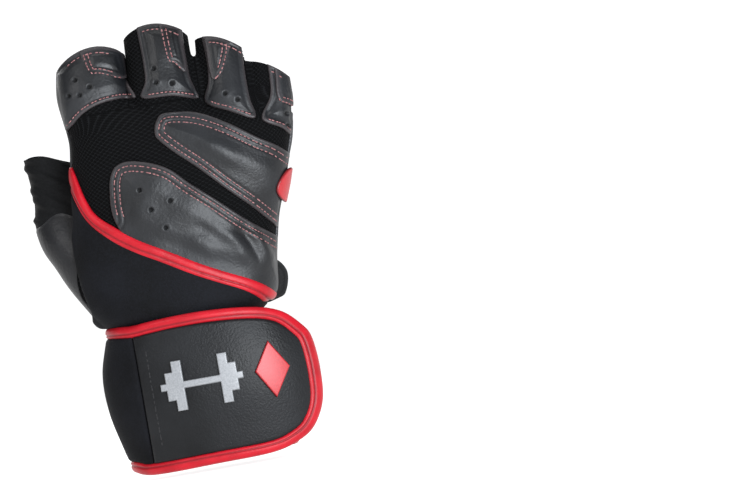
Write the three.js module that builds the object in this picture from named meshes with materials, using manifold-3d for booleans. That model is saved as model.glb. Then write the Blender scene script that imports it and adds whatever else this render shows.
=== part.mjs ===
// Fingerless weightlifting glove for the right hand, filled as when it is worn.
// Millimetres. Z runs from the wrist to the fingers, the back of the hand faces -Y,
// the palm faces +Y, the little finger is at +X and the thumb at -X.
// The origin is the centre of the wrist opening.

import * as THREE from 'three';
import { mergeVertices } from 'three/addons/utils/BufferGeometryUtils.js';
import Module from 'manifold-3d';

const wasm = await Module();
wasm.setup();

// Main sizes
const KNUCKLE_WIDTH = 100;
const HAND_LENGTH = 133;
const HAND_THICKNESS = 46;
const CUFF_HEIGHT = 62;
const CUFF_WIDTH = 82;
const CUFF_DEPTH = 60;
const STALL_WIDTH = 30;
const STALL_DEPTH = 26;

// Wall thicknesses
const BASE_WALL = 1.6;
const LEATHER = 1.4;
const PATCH_LEATHER = 1.0;
const BINDING_THICKNESS = 2.4;
const GUSSET_THICKNESS = 2.2;
const PAD_THICKNESS = 2.6;
const CUFF_WALL = 3.4;
const STRAP_THICKNESS = 2.8;
const BADGE_THICKNESS = 1.6;
const CUFF_BINDING_THICKNESS = 1.2;
const MARK_THICKNESS = 1.0;
const TAB_THICKNESS = 2.0;

// Fits
const GAP = 0.3;
const BINDING_WIDTH = 6.4;
const STRAP_BINDING_WIDTH = 5.6;
const CUFF_BINDING_WIDTH = 6.5;
const BINDING_RISE = 0.6;
const VENT_RADIUS = 1.0;
const TUCK_DEPTH = 15;
const REACH = 140;

// Smoothness of the round forms
const HAND_POINTS = 24;
const STALL_POINTS = 13;
const OUTLINE_STEPS = 2;
const VENT_POINTS = 6;
const FINEST_DETAIL = 0.03;

// Cuff: height (share of the cuff), middle x and half width (shares of its width),
// half depth (share of its depth)
const CUFF_ROWS = [
  { up: 0.0, x: 0.012, wide: 0.427, deep: 0.46 },
  { up: 0.17, x: 0.014, wide: 0.461, deep: 0.48 },
  { up: 0.45, x: -0.003, wide: 0.49, deep: 0.51 },
  { up: 0.72, x: -0.014, wide: 0.481, deep: 0.495 },
  { up: 1.0, x: -0.018, wide: 0.416, deep: 0.455 },
];
const CUFF_SQUARENESS = 2.3;

// Hand: height above the cuff (share of the hand's length), middle x and half width
// (shares of the knuckle width), middle y and half depth (shares of its thickness),
// slope of the section towards the little finger
const HAND_ROWS = [
  { up: 0.05, x: -0.015, wide: 0.39, y: -0.01, deep: 0.54, slope: 0 },
  { up: 0.14, x: -0.035, wide: 0.435, y: -0.02, deep: 0.5, slope: 0 },
  { up: 0.29, x: -0.015, wide: 0.455, y: -0.02, deep: 0.49, slope: 0 },
  { up: 0.44, x: 0.035, wide: 0.47, y: -0.03, deep: 0.47, slope: -0.05 },
  { up: 0.58, x: 0.07, wide: 0.485, y: -0.03, deep: 0.43, slope: -0.1 },
  { up: 0.68, x: 0.08, wide: 0.49, y: 0.0, deep: 0.36, slope: -0.18 },
  { up: 0.76, x: 0.085, wide: 0.465, y: 0.06, deep: 0.2, slope: -0.22 },
];
const HAND_SQUARENESS = 2.3;
const PANEL_START = 0.03;

// Finger stalls: height (share of the hand's length), middle x (share of the knuckle
// width), half width (share of the stall width), middle y and half depth (shares of
// the stall depth), slope of the section towards the little finger
const STALL_ROWS = {
  index: [
    { up: 0.46, x: -0.235, wide: 0.5, y: -0.02, deep: 0.45, slope: 0 },
    { up: 0.7, x: -0.26, wide: 0.515, y: 0.03, deep: 0.53, slope: 0 },
    { up: 0.84, x: -0.274, wide: 0.515, y: 0.2, deep: 0.51, slope: 0.06 },
    { up: 0.952, x: -0.262, wide: 0.475, y: 0.42, deep: 0.49, slope: 0.12 },
  ],
  middle: [
    { up: 0.46, x: 0.03, wide: 0.5, y: -0.08, deep: 0.47, slope: 0 },
    { up: 0.7, x: 0.036, wide: 0.53, y: -0.03, deep: 0.55, slope: 0 },
    { up: 0.86, x: 0.042, wide: 0.52, y: 0.16, deep: 0.53, slope: -0.05 },
    { up: 0.995, x: 0.046, wide: 0.5, y: 0.42, deep: 0.51, slope: -0.1 },
  ],
  ring: [
    { up: 0.44, x: 0.31, wide: 0.44, y: -0.04, deep: 0.44, slope: 0 },
    { up: 0.66, x: 0.325, wide: 0.47, y: 0.0, deep: 0.52, slope: -0.1 },
    { up: 0.79, x: 0.332, wide: 0.455, y: 0.18, deep: 0.5, slope: -0.3 },
    { up: 0.907, x: 0.338, wide: 0.435, y: 0.38, deep: 0.47, slope: -0.5 },
  ],
  little: [
    { up: 0.4, x: 0.4, wide: 0.3, y: 0.08, deep: 0.36, slope: 0 },
    { up: 0.58, x: 0.463, wide: 0.343, y: 0.1, deep: 0.45, slope: -0.15 },
    { up: 0.69, x: 0.487, wide: 0.345, y: 0.22, deep: 0.45, slope: -0.35 },
    { up: 0.797, x: 0.506, wide: 0.345, y: 0.38, deep: 0.43, slope: -0.55 },
  ],
};
const STALL_SQUARENESS = 2.4;
const HEM_SLOPE = -0.12;

// Thumb stall: the same columns as the finger stalls
const THUMB_ROWS = [
  { up: 0.04, x: -0.27, wide: 0.5, y: 0.04, deep: 0.46, slope: 0 },
  { up: 0.14, x: -0.33, wide: 0.57, y: 0.16, deep: 0.56, slope: 0 },
  { up: 0.24, x: -0.397, wide: 0.58, y: 0.32, deep: 0.62, slope: 0 },
  { up: 0.32, x: -0.442, wide: 0.59, y: 0.48, deep: 0.64, slope: 0 },
  { up: 0.4, x: -0.478, wide: 0.555, y: 0.68, deep: 0.6, slope: -0.06 },
  { up: 0.49, x: -0.486, wide: 0.49, y: 0.92, deep: 0.55, slope: -0.16 },
  { up: 0.61, x: -0.518, wide: 0.455, y: 1.18, deep: 0.52, slope: -0.3 },
];

// Middle surface between the back and the palm: height (share of the hand's length
// above the cuff) and y (share of the hand's thickness)
const MIDDLE_ROWS = [
  { up: -0.5, y: -0.01 },
  { up: 0.3, y: -0.02 },
  { up: 0.58, y: 0.0 },
  { up: 0.72, y: 0.05 },
  { up: 0.86, y: 0.14 },
  { up: 1.0, y: 0.25 },
  { up: 1.2, y: 0.42 },
];

// Outlines seen from the back or the palm: x (share of the knuckle width) and height
// above the cuff (share of the hand's length)
const GUSSET_OUTLINE = [
  [-0.42, -0.015], [-0.42, 0.08], [-0.53, 0.14], [-0.54, 0.248], [-0.5, 0.331],
  [-0.465, 0.421], [-0.425, 0.511], [-0.36, 0.389], [-0.279, 0.329], [-0.187, 0.277],
  [-0.072, 0.226], [0.043, 0.173], [0.158, 0.126], [0.25, 0.09], [0.32, 0.056],
  [0.37, -0.015],
];
const BINDING_LINE = [
  [-0.44, 0.575], [-0.4, 0.459], [-0.36, 0.389], [-0.279, 0.329], [-0.187, 0.277],
  [-0.072, 0.226], [0.043, 0.173], [0.158, 0.126], [0.25, 0.09], [0.32, 0.056],
  [0.37, 0.02],
];
const LOWER_PANEL_OUTLINE = [
  [-0.27, 0.376], [-0.262, 0.484], [-0.239, 0.541], [-0.198, 0.562], [-0.14, 0.562],
  [-0.049, 0.541], [0.02, 0.511], [0.09, 0.459], [0.193, 0.389], [0.308, 0.308],
  [0.4, 0.251], [0.45, 0.218], [0.54, 0.165], [0.5, 0.04], [0.36, 0.035],
  [0.25, 0.098], [0.043, 0.18], [-0.187, 0.284],
];
const UPPER_PANEL_OUTLINE = [
  [-0.024, 0.64], [-0.014, 0.674], [0.02, 0.701], [0.089, 0.701], [0.193, 0.679],
  [0.308, 0.632], [0.423, 0.571], [0.503, 0.532], [0.57, 0.485], [0.64, 0.429],
  [0.6, 0.271], [0.46, 0.241], [0.423, 0.277], [0.342, 0.346], [0.25, 0.415],
  [0.135, 0.506], [0.055, 0.562], [-0.009, 0.614],
];
const FINGER_TOP_OUTLINES = {
  index: [
    [-0.48, 0.692], [-0.394, 0.714], [-0.325, 0.752], [-0.244, 0.774], [-0.152, 0.78],
    [-0.08, 0.776], [-0.108, 0.83], [-0.115, 0.887], [-0.12, 1.038], [-0.3, 1.068],
    [-0.48, 1.038],
  ],
  middle: [
    [-0.055, 0.768], [0.078, 0.758], [0.195, 0.737], [0.168, 0.8], [0.163, 0.887],
    [0.16, 1.068], [0.07, 1.098], [-0.02, 1.068], [-0.02, 0.887], [-0.028, 0.82],
  ],
  ring: [
    [0.222, 0.716], [0.319, 0.674], [0.43, 0.635], [0.418, 0.7], [0.415, 0.774],
    [0.415, 1.038], [0.33, 1.068], [0.26, 1.038], [0.26, 0.85], [0.25, 0.778],
  ],
  little: [
    [0.455, 0.63], [0.538, 0.588], [0.58, 0.553], [0.66, 0.519], [0.66, 0.932],
    [0.526, 0.932], [0.523, 0.778], [0.51, 0.701],
  ],
};
const FINGER_PATCH_OUTLINES = {
  index: [
    [-0.305, 1.038], [-0.296, 0.955], [-0.273, 0.882], [-0.221, 0.869], [-0.13, 0.846],
    [-0.125, 0.932], [-0.13, 1.038],
  ],
  middle: [
    [0.078, 1.083], [0.078, 0.899], [0.112, 0.861], [0.148, 0.835], [0.15, 0.947],
    [0.146, 1.083],
  ],
  ring: [
    [0.372, 1.038], [0.37, 0.913], [0.354, 0.856], [0.319, 0.805], [0.275, 0.79],
    [0.272, 0.902], [0.276, 1.038],
  ],
  little: [
    [0.534, 0.69], [0.58, 0.662], [0.66, 0.639], [0.66, 0.917], [0.545, 0.917],
    [0.54, 0.782],
  ],
};
const VENT_PLACES = {
  index: [[-0.334, 0.863], [-0.279, 0.832], [-0.369, 0.816], [-0.325, 0.811]],
  middle: [[0.02, 0.857], [0.02, 0.808], [0.087, 0.797]],
  ring: [[0.316, 0.731], [0.365, 0.705]],
  little: [[0.559, 0.634], [0.56, 0.594]],
  lower: [[-0.13, 0.462], [-0.095, 0.391], [-0.005, 0.41], [-0.045, 0.323]],
};
const EDGE_CHEVRON_OUTLINE = [
  [0.432, 0.383],
  [0.51, 0.462],
  [0.575, 0.462],
  [0.505, 0.383],
  [0.575, 0.305],
  [0.51, 0.305],
];
const OVERLAY_OUTLINE = [
  [0.56, 0.2], [0.44, 0.138], [0.38, 0.069], [0.319, 0.03], [0.193, 0.022],
  [0.043, 0.03], [-0.037, 0.078], [-0.095, 0.156], [-0.12, 0.286], [-0.14, 0.372],
  [-0.2, 0.421], [-0.28, 0.466], [-0.36, 0.526], [-0.48, 0.632], [-0.56, 0.72],
  [-0.5, 0.745], [0.0, 0.75], [0.24, 0.72], [0.3, 0.7], [0.66, 0.61], [0.66, 0.436],
];
const PAD_OUTLINES = {
  heel_pad: [
    [-0.01, 0.355], [0.1, 0.32], [0.25, 0.277], [0.33, 0.247], [0.36, 0.217],
    [0.335, 0.121], [0.26, 0.13], [0.19, 0.182], [0.11, 0.259], [0.03, 0.32],
  ],
  band_pad: [
    [0.37, 0.372], [0.29, 0.415], [0.155, 0.467], [0.025, 0.519], [-0.11, 0.553],
    [-0.19, 0.571], [-0.22, 0.605], [-0.255, 0.666], [-0.28, 0.688], [-0.345, 0.671],
    [-0.35, 0.632], [-0.33, 0.545], [-0.305, 0.502], [-0.24, 0.489], [-0.12, 0.459],
    [0.015, 0.415], [0.17, 0.372], [0.285, 0.338], [0.34, 0.308], [0.375, 0.32],
  ],
  notched_pad: [
    [0.265, 0.619], [0.435, 0.562], [0.435, 0.545], [0.32, 0.565], [0.32, 0.532],
    [0.44, 0.511], [0.45, 0.432], [0.185, 0.528],
  ],
  crescent_pad: [
    [-0.123, 0.692], [-0.09, 0.613], [-0.03, 0.575], [0.036, 0.559], [0.11, 0.573],
    [0.165, 0.617], [0.185, 0.692], [0.1, 0.692], [0.09, 0.654], [0.046, 0.644],
    [0.005, 0.658], [-0.012, 0.692],
  ],
  tab_pad: [[0.39, 0.655], [0.47, 0.655], [0.47, 0.705], [0.39, 0.705]],
  oval_finger_pad: [
    [0.435, 0.635], [0.475, 0.64], [0.475, 0.605], [0.435, 0.6],
  ],
  oval_pad: [
    [-0.01, 0.235], [0.02, 0.236], [0.1, 0.17], [0.2, 0.085], [0.2, 0.055],
    [0.16, 0.05], [0.06, 0.12], [-0.01, 0.195],
  ],
};
const FINGER_PAD_OUTLINES = {
  finger_pad_index: [
    [-0.34, 0.79], [-0.27, 0.775], [-0.26, 0.82], [-0.26, 0.87], [-0.31, 0.885],
    [-0.34, 0.86],
  ],
  finger_pad_middle: [
    [-0.02, 0.79], [0.06, 0.78], [0.07, 0.83], [0.065, 0.885], [0.01, 0.895],
    [-0.02, 0.86],
  ],
  finger_pad_ring: [
    [0.29, 0.735], [0.36, 0.725], [0.37, 0.77], [0.365, 0.81], [0.32, 0.83],
    [0.29, 0.8],
  ],
};
const PULL_TAB_Y = 0.23;
const PULL_TAB_OUTLINE = [
  [0.3, 0.03], [0.4, 0.03], [0.44, 0.055], [0.46, 0.11], [0.44, 0.145], [0.39, 0.17],
  [0.3, 0.17],
];

// Strap outline: x (share of the cuff's width) and height (share of the cuff's height)
const STRAP_LEFT = -0.62;
const STRAP_OUTLINE = [
  [STRAP_LEFT, 0.03], [-0.45, -0.01], [-0.34, -0.048], [0.0, -0.04], [0.3, -0.03],
  [0.44, 0.018], [0.54, 0.11], [0.605, 0.277], [0.62, 0.5], [0.605, 0.723], [0.562, 0.834],
  [0.46, 0.965], [0.3, 1.03], [0.024, 1.06], [-0.3, 1.04], [STRAP_LEFT, 0.955],
];
const STRAP_SHIFT = 0.075;
const STRAP_SEAM = -0.33;
const STRAP_END_Y = 0.08;
const FASTENER_OUTLINE = [[0.24, 0.25], [0.4, 0.25], [0.4, 0.75], [0.24, 0.75]];

// Badge on the strap: a barbell, as x (share of the cuff's width) and half height (share of
// the cuff's), and a diamond, as x and height
const BARBELL_HEIGHT = 0.56;
const BARBELL_STEPS = [
  [-0.22, 0.026], [-0.19, 0.026], [-0.19, 0.1], [-0.15, 0.1], [-0.15, 0.175], [-0.095, 0.175],
  [-0.095, 0.026], [0.095, 0.026], [0.095, 0.175], [0.15, 0.175], [0.15, 0.1], [0.19, 0.1],
  [0.19, 0.026], [0.22, 0.026],
];
const DIAMOND_OUTLINE = [[0.28, 0.56], [0.37, 0.36], [0.46, 0.56], [0.37, 0.76]];

// Thumb: where the stretch fabric starts (height, share of the hand's length), and the
// middle line of the smooth strip seen from the palm
const STRETCH_START = 0.42;
const STRIP_LINE = [
  [-0.28, 0.07], [-0.37, 0.15], [-0.445, 0.235], [-0.5, 0.325], [-0.525, 0.42],
  [-0.535, 0.52], [-0.54, 0.62],
];
const STRIP_WIDTH = 7;

const toX = (share) => share * KNUCKLE_WIDTH;
const toZ = (share) => CUFF_HEIGHT + share * HAND_LENGTH;

// Closed solid from a merged mesh
function solidFrom(geometry) {
  geometry.deleteAttribute('normal');
  geometry.deleteAttribute('uv');
  const merged = mergeVertices(geometry, 1e-5);
  return new wasm.Manifold(new wasm.Mesh({
    numProp: 3,
    vertProperties: new Float32Array(merged.attributes.position.array),
    triVerts: new Uint32Array(merged.index.array),
  }));
}

// Body through a row of rounded sections, each grown outwards by the same amount
function loft(sections, points, grow) {
  const positions = [];
  const indices = [];
  for (const section of sections) {
    const power = 2 / section.squareness;
    for (let i = 0; i < points; i += 1) {
      const angle = (2 * Math.PI * i) / points;
      const across = Math.sign(Math.cos(angle)) * Math.abs(Math.cos(angle)) ** power;
      const out = Math.sign(Math.sin(angle)) * Math.abs(Math.sin(angle)) ** power;
      const dx = across * (section.wide + grow);
      const dy = out * (section.deep + grow);
      const z = section.z + section.slope * dx + section.tilt * dy;
      positions.push(section.x + dx, section.y + dy, z);
    }
  }
  for (let row = 0; row + 1 < sections.length; row += 1) {
    for (let i = 0; i < points; i += 1) {
      const a = row * points + i;
      const b = row * points + ((i + 1) % points);
      indices.push(a, b, b + points);
      indices.push(a, b + points, a + points);
    }
  }
  const last = (sections.length - 1) * points;
  for (let i = 1; i + 1 < points; i += 1) {
    indices.push(0, i + 1, i);
    indices.push(last, last + i, last + i + 1);
  }
  return new wasm.Manifold(new wasm.Mesh({
    numProp: 3,
    vertProperties: new Float32Array(positions),
    triVerts: new Uint32Array(indices),
  }));
}

// Smooth closed outline through the rows of a table
function smoothOutline(rows, closed, steps = OUTLINE_STEPS) {
  const spots = rows.map(([x, z]) => new THREE.Vector3(x, z, 0));
  const curve = new THREE.CatmullRomCurve3(spots, closed, 'centripetal');
  const count = (closed ? rows.length : rows.length - 1) * steps;
  const points = curve.getPoints(count);
  return closed ? points.slice(0, -1) : points;
}

// Prism whose outline lies in the XZ plane, between two values of y
function prism(outline, yFrom, yTo) {
  const shape = new THREE.Shape(outline.map((p) => new THREE.Vector2(p.x, p.y)));
  const depth = yTo - yFrom;
  const geometry = new THREE.ExtrudeGeometry(shape, { depth, bevelEnabled: false });
  geometry.rotateX(Math.PI / 2);
  geometry.translate(0, yTo, 0);
  return solidFrom(geometry);
}

// Band of a given width along an open line in the XZ plane
function bandOutline(line, width) {
  const left = [];
  const right = [];
  line.forEach((point, i) => {
    const before = line[Math.max(i - 1, 0)];
    const after = line[Math.min(i + 1, line.length - 1)];
    const along = new THREE.Vector2(after.x - before.x, after.y - before.y).normalize();
    left.push(new THREE.Vector2(point.x - along.y * width / 2, point.y + along.x * width / 2));
    right.push(new THREE.Vector2(point.x + along.y * width / 2, point.y - along.x * width / 2));
  });
  return [...right, ...left.reverse()];
}

// Outline moved inwards (negative) or outwards (positive) by a distance
function offsetOutline(outline, distance) {
  const area = THREE.ShapeUtils.area(outline);
  const sign = area > 0 ? 1 : -1;
  return outline.map((point, i) => {
    const before = outline[(i + outline.length - 1) % outline.length];
    const after = outline[(i + 1) % outline.length];
    const along = new THREE.Vector2(after.x - before.x, after.y - before.y).normalize();
    const x = point.x + sign * along.y * distance;
    const z = point.y - sign * along.x * distance;
    return new THREE.Vector2(x, z);
  });
}

const outlineOf = (rows) => smoothOutline(rows.map(([x, z]) => [toX(x), toZ(z)]), true);

const cuffRows = CUFF_ROWS.map((row) => ({
  x: row.x * CUFF_WIDTH,
  y: 0,
  z: row.up * CUFF_HEIGHT,
  wide: row.wide * CUFF_WIDTH,
  deep: row.deep * CUFF_DEPTH,
  slope: 0,
  tilt: 0,
  squareness: CUFF_SQUARENESS,
}));

// Cuff section at a height between two rows
function cuffSectionAt(z) {
  const next = Math.max(1, cuffRows.findIndex((row) => row.z >= z));
  const upper = cuffRows[next];
  const lower = cuffRows[next - 1];
  const t = (z - lower.z) / (upper.z - lower.z);
  const between = (key) => THREE.MathUtils.lerp(lower[key], upper[key], t);
  return { ...lower, x: between('x'), z, wide: between('wide'), deep: between('deep') };
}

// The hand's lower end fits inside the cuff
const tuckRows = [CUFF_HEIGHT - TUCK_DEPTH, CUFF_HEIGHT].map((z) => {
  const section = cuffSectionAt(z);
  const inside = CUFF_WALL + GAP;
  return { ...section, wide: section.wide - inside, deep: section.deep - inside };
});

const handRows = [...tuckRows, ...HAND_ROWS.map((row) => ({
  x: toX(row.x),
  y: row.y * HAND_THICKNESS,
  z: toZ(row.up),
  wide: row.wide * KNUCKLE_WIDTH,
  deep: row.deep * HAND_THICKNESS,
  slope: row.slope,
  tilt: 0,
  squareness: HAND_SQUARENESS,
}))];

const stallRows = (table) => table.map((row, i) => ({
  x: toX(row.x),
  y: row.y * STALL_DEPTH,
  z: toZ(row.up),
  wide: row.wide * STALL_WIDTH,
  deep: row.deep * STALL_DEPTH,
  slope: row.slope,
  tilt: i === table.length - 1 ? HEM_SLOPE : 0,
  squareness: STALL_SQUARENESS,
}));

// Sections carried on past the first or the last one, so that a hollow runs right out
function extended(sections, below, above) {
  const first = { ...sections[0], z: sections[0].z - below };
  const last = { ...sections[sections.length - 1] };
  last.z += above;
  return [...(below ? [first] : []), ...sections, ...(above ? [last] : [])];
}

const FINGERS = Object.keys(STALL_ROWS);
const fingerSections = Object.fromEntries(
  FINGERS.map((finger) => [finger, stallRows(STALL_ROWS[finger])]),
);
const thumbSections = stallRows(THUMB_ROWS);

// Whole hand without the thumb, grown by a distance; a hollow runs out of its ends
function handBody(grow, hollow) {
  const below = hollow ? TUCK_DEPTH : 0;
  const above = hollow ? STALL_DEPTH : 0;
  const sections = extended(handRows, below, 0);
  const roof = sections.pop();
  let body = loft([...sections, { ...roof, z: roof.z + grow }], HAND_POINTS, grow);
  for (const finger of FINGERS) {
    body = body.add(loft(extended(fingerSections[finger], 0, above), STALL_POINTS, grow));
  }
  return body;
}

const thumbBody = (grow, above) => loft(extended(thumbSections, 0, above), STALL_POINTS, grow);

const cuffBody = (grow, below, above) => loft(
  extended(cuffRows, below, above),
  HAND_POINTS,
  grow,
);

// Everything on one side of a surface that runs straight across the hand; its line
// holds y and z
function sideOf(line, side, shift) {
  const far = 2 * side * REACH;
  const shape = new THREE.Shape([
    ...line.map((point) => new THREE.Vector2(point.x + shift, point.y)),
    new THREE.Vector2(far, line[line.length - 1].y),
    new THREE.Vector2(far, line[0].y),
  ]);
  const geometry = new THREE.ExtrudeGeometry(shape, { depth: 2 * REACH, bevelEnabled: false });
  const turned = new THREE.Matrix4().makeBasis(
    new THREE.Vector3(0, 1, 0),
    new THREE.Vector3(0, 0, 1),
    new THREE.Vector3(1, 0, 0),
  );
  geometry.applyMatrix4(turned);
  geometry.translate(-REACH, 0, 0);
  return solidFrom(geometry);
}

// Everything between two heights
const slab = (low, high) => prism([
  new THREE.Vector2(-2 * REACH, low),
  new THREE.Vector2(2 * REACH, low),
  new THREE.Vector2(2 * REACH, high),
  new THREE.Vector2(-2 * REACH, high),
], -2 * REACH, 2 * REACH);

// Everything between two values of x
const acrossSlab = (left, right) => prism([
  new THREE.Vector2(left, -2 * REACH),
  new THREE.Vector2(right, -2 * REACH),
  new THREE.Vector2(right, 2 * REACH),
  new THREE.Vector2(left, 2 * REACH),
], -2 * REACH, 2 * REACH);

const BACK = -1;
const PALM = 1;
const middleLine = MIDDLE_ROWS.map((row) => (
  new THREE.Vector2(row.y * HAND_THICKNESS, toZ(row.up))
));
const backHalf = sideOf(middleLine, BACK, -GAP / 2);
const palmHalf = sideOf(middleLine, PALM, GAP / 2);
const backPanels = sideOf(middleLine, BACK, -GAP);
const palmPanels = sideOf(middleLine, PALM, GAP);

const shellBetween = (inner, outer) => handBody(outer, false).subtract(handBody(inner, true));

const thumbRoom = thumbBody(GAP, 0);
const thumbHollow = thumbBody(-BASE_WALL, STALL_DEPTH);

const baseShell = shellBetween(-BASE_WALL, 0);
const leatherOut = GAP + LEATHER;
const leatherLayer = shellBetween(GAP, leatherOut);
const patchLayer = shellBetween(leatherOut + GAP, leatherOut + GAP + PATCH_LEATHER);
const gussetLayer = shellBetween(GAP, GAP + GUSSET_THICKNESS);
const bindingLayer = shellBetween(GAP, GAP + BINDING_THICKNESS);
const padLayer = shellBetween(leatherOut + GAP, leatherOut + GAP + PAD_THICKNESS);
const fingerPadLayer = shellBetween(GAP, GAP + PAD_THICKNESS);
const markLayer = shellBetween(leatherOut + GAP, leatherOut + GAP + MARK_THICKNESS);

const parts = [];

// Adds one piece to the glove
function piece(name, solid, color, roughness, metalness) {
  const tidy = solid.simplify(FINEST_DETAIL);
  const mesh = tidy.getMesh();
  const geometry = new THREE.BufferGeometry();
  const positions = new THREE.BufferAttribute(new Float32Array(mesh.vertProperties), 3);
  geometry.setAttribute('position', positions);
  geometry.setIndex(new THREE.BufferAttribute(new Uint32Array(mesh.triVerts), 1));
  geometry.computeVertexNormals();
  const material = new THREE.MeshStandardMaterial({ color, roughness, metalness });
  const node = new THREE.Mesh(geometry, material);
  node.name = name;
  parts.push(node);
}

const COLORS = {
  mesh: 0x17171a,
  leather: 0x1f1f22,
  palm: 0x26262a,
  neoprene: 0x14181f,
  binding: 0xc4101c,
  pad: 0x55575c,
  strip: 0x3a3b3f,
  badge: 0xb9bcc2,
};

// Vent holes of a panel, each a round cut right through the back
function vents(places) {
  let cuts = null;
  for (const [x, z] of places) {
    const geometry = new THREE.CylinderGeometry(VENT_RADIUS, VENT_RADIUS, REACH, VENT_POINTS);
    geometry.translate(toX(x), -REACH / 2, toZ(z));
    const cut = solidFrom(geometry);
    cuts = cuts ? cuts.add(cut) : cut;
  }
  return cuts;
}

const throughBack = (outline) => prism(outline, -REACH, REACH);

// Hand
const thumbCut = thumbRoom.add(thumbHollow);
piece('back_mesh', baseShell.intersect(backHalf).subtract(thumbCut), COLORS.mesh, 0.85, 0);
piece('palm_leather', baseShell.intersect(palmHalf).subtract(thumbCut), COLORS.palm, 0.6, 0);

const panelLayer = leatherLayer.intersect(backPanels).subtract(thumbRoom);
for (const finger of FINGERS) {
  const top = throughBack(outlineOf(FINGER_TOP_OUTLINES[finger]));
  const holes = vents(VENT_PLACES[finger]);
  piece(`finger_top_${finger}`, panelLayer.intersect(top).subtract(holes), COLORS.leather, 0.5, 0);
  const patch = throughBack(outlineOf(FINGER_PATCH_OUTLINES[finger]));
  const patchSolid = patchLayer.intersect(backPanels).intersect(patch);
  piece(`finger_patch_${finger}`, patchSolid, COLORS.leather, 0.5, 0);
}

// Back of the hand
const aboveCuff = slab(toZ(PANEL_START), 2 * REACH);
const bindingLine = smoothOutline(BINDING_LINE.map(([x, z]) => [toX(x), toZ(z)]), false);
const bindingBand = throughBack(bandOutline(bindingLine, BINDING_WIDTH));
const bindingRoom = throughBack(bandOutline(bindingLine, BINDING_WIDTH + 2 * GAP));
const backOnly = backPanels.subtract(thumbRoom);
const backBinding = bindingLayer.intersect(backOnly).intersect(bindingBand).intersect(aboveCuff);
piece('back_binding', backBinding, COLORS.binding, 0.45, 0);
const lowerPanel = panelLayer
  .intersect(throughBack(outlineOf(LOWER_PANEL_OUTLINE)))
  .intersect(aboveCuff)
  .subtract(bindingRoom)
  .subtract(vents(VENT_PLACES.lower));
piece('knuckle_panel_lower', lowerPanel, COLORS.leather, 0.5, 0);
const upperPanel = panelLayer.intersect(throughBack(outlineOf(UPPER_PANEL_OUTLINE)));
piece('knuckle_panel_upper', upperPanel, COLORS.leather, 0.5, 0);
const gusset = gussetLayer
  .intersect(backOnly)
  .intersect(throughBack(outlineOf(GUSSET_OUTLINE)))
  .intersect(aboveCuff)
  .subtract(bindingRoom);
piece('wrist_gusset', gusset, COLORS.neoprene, 0.8, 0);
const chevron = markLayer
  .intersect(backPanels)
  .intersect(throughBack(outlineOf(EDGE_CHEVRON_OUTLINE)));
piece('edge_chevron', chevron, COLORS.binding, 0.4, 0);

// Palm
const overlay = leatherLayer
  .intersect(palmPanels)
  .intersect(throughBack(outlineOf(OVERLAY_OUTLINE)))
  .intersect(aboveCuff)
  .subtract(thumbRoom);
piece('palm_overlay', overlay, COLORS.palm, 0.55, 0);
for (const [name, rows] of Object.entries(PAD_OUTLINES)) {
  const pad = padLayer.intersect(palmPanels).intersect(throughBack(outlineOf(rows)));
  piece(name, pad.subtract(thumbRoom), COLORS.pad, 0.45, 0);
}
for (const [name, rows] of Object.entries(FINGER_PAD_OUTLINES)) {
  const pad = fingerPadLayer.intersect(palmPanels).intersect(throughBack(outlineOf(rows)));
  piece(name, pad, COLORS.pad, 0.45, 0);
}

const tabMiddle = PULL_TAB_Y * HAND_THICKNESS;
const tab = prism(
  outlineOf(PULL_TAB_OUTLINE),
  tabMiddle - TAB_THICKNESS / 2,
  tabMiddle + TAB_THICKNESS / 2,
);
piece('pull_tab', tab.subtract(handBody(leatherOut + GAP, false)), COLORS.mesh, 0.8, 0);

// Thumb
const thumbShell = thumbBody(0, 0)
  .subtract(thumbBody(-BASE_WALL, STALL_DEPTH))
  .subtract(handBody(GAP, false));
const thumbMiddle = thumbSections.map((row) => new THREE.Vector2(row.y, row.z));
const thumbTop = thumbMiddle[thumbMiddle.length - 1];
const stretchLine = [...thumbMiddle, new THREE.Vector2(thumbTop.x, thumbTop.y + STALL_DEPTH)];
const stretchRoom = (shift) => sideOf(stretchLine, BACK, shift)
  .intersect(slab(toZ(STRETCH_START) - shift, 2 * REACH));
const thumbLeather = thumbShell.subtract(stretchRoom(GAP / 2));
piece('thumb_leather', thumbLeather, COLORS.leather, 0.5, 0);
const thumbStretch = thumbShell.intersect(stretchRoom(-GAP / 2));
piece('thumb_stretch', thumbStretch, COLORS.mesh, 0.85, 0);
const stripLine = smoothOutline(STRIP_LINE.map(([x, z]) => [toX(x), toZ(z)]), false);
const stripOver = handBody(leatherOut, false).add(thumbBody(leatherOut, 0));
const stripUnder = handBody(GAP, true).add(thumbBody(GAP, STALL_DEPTH));
const strip = stripOver
  .subtract(stripUnder)
  .intersect(sideOf(stretchLine, PALM, 0))
  .intersect(throughBack(bandOutline(stripLine, STRIP_WIDTH)))
  .intersect(palmPanels)
  .intersect(aboveCuff);
piece('thumb_strip', strip, COLORS.strip, 0.3, 0);

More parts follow.
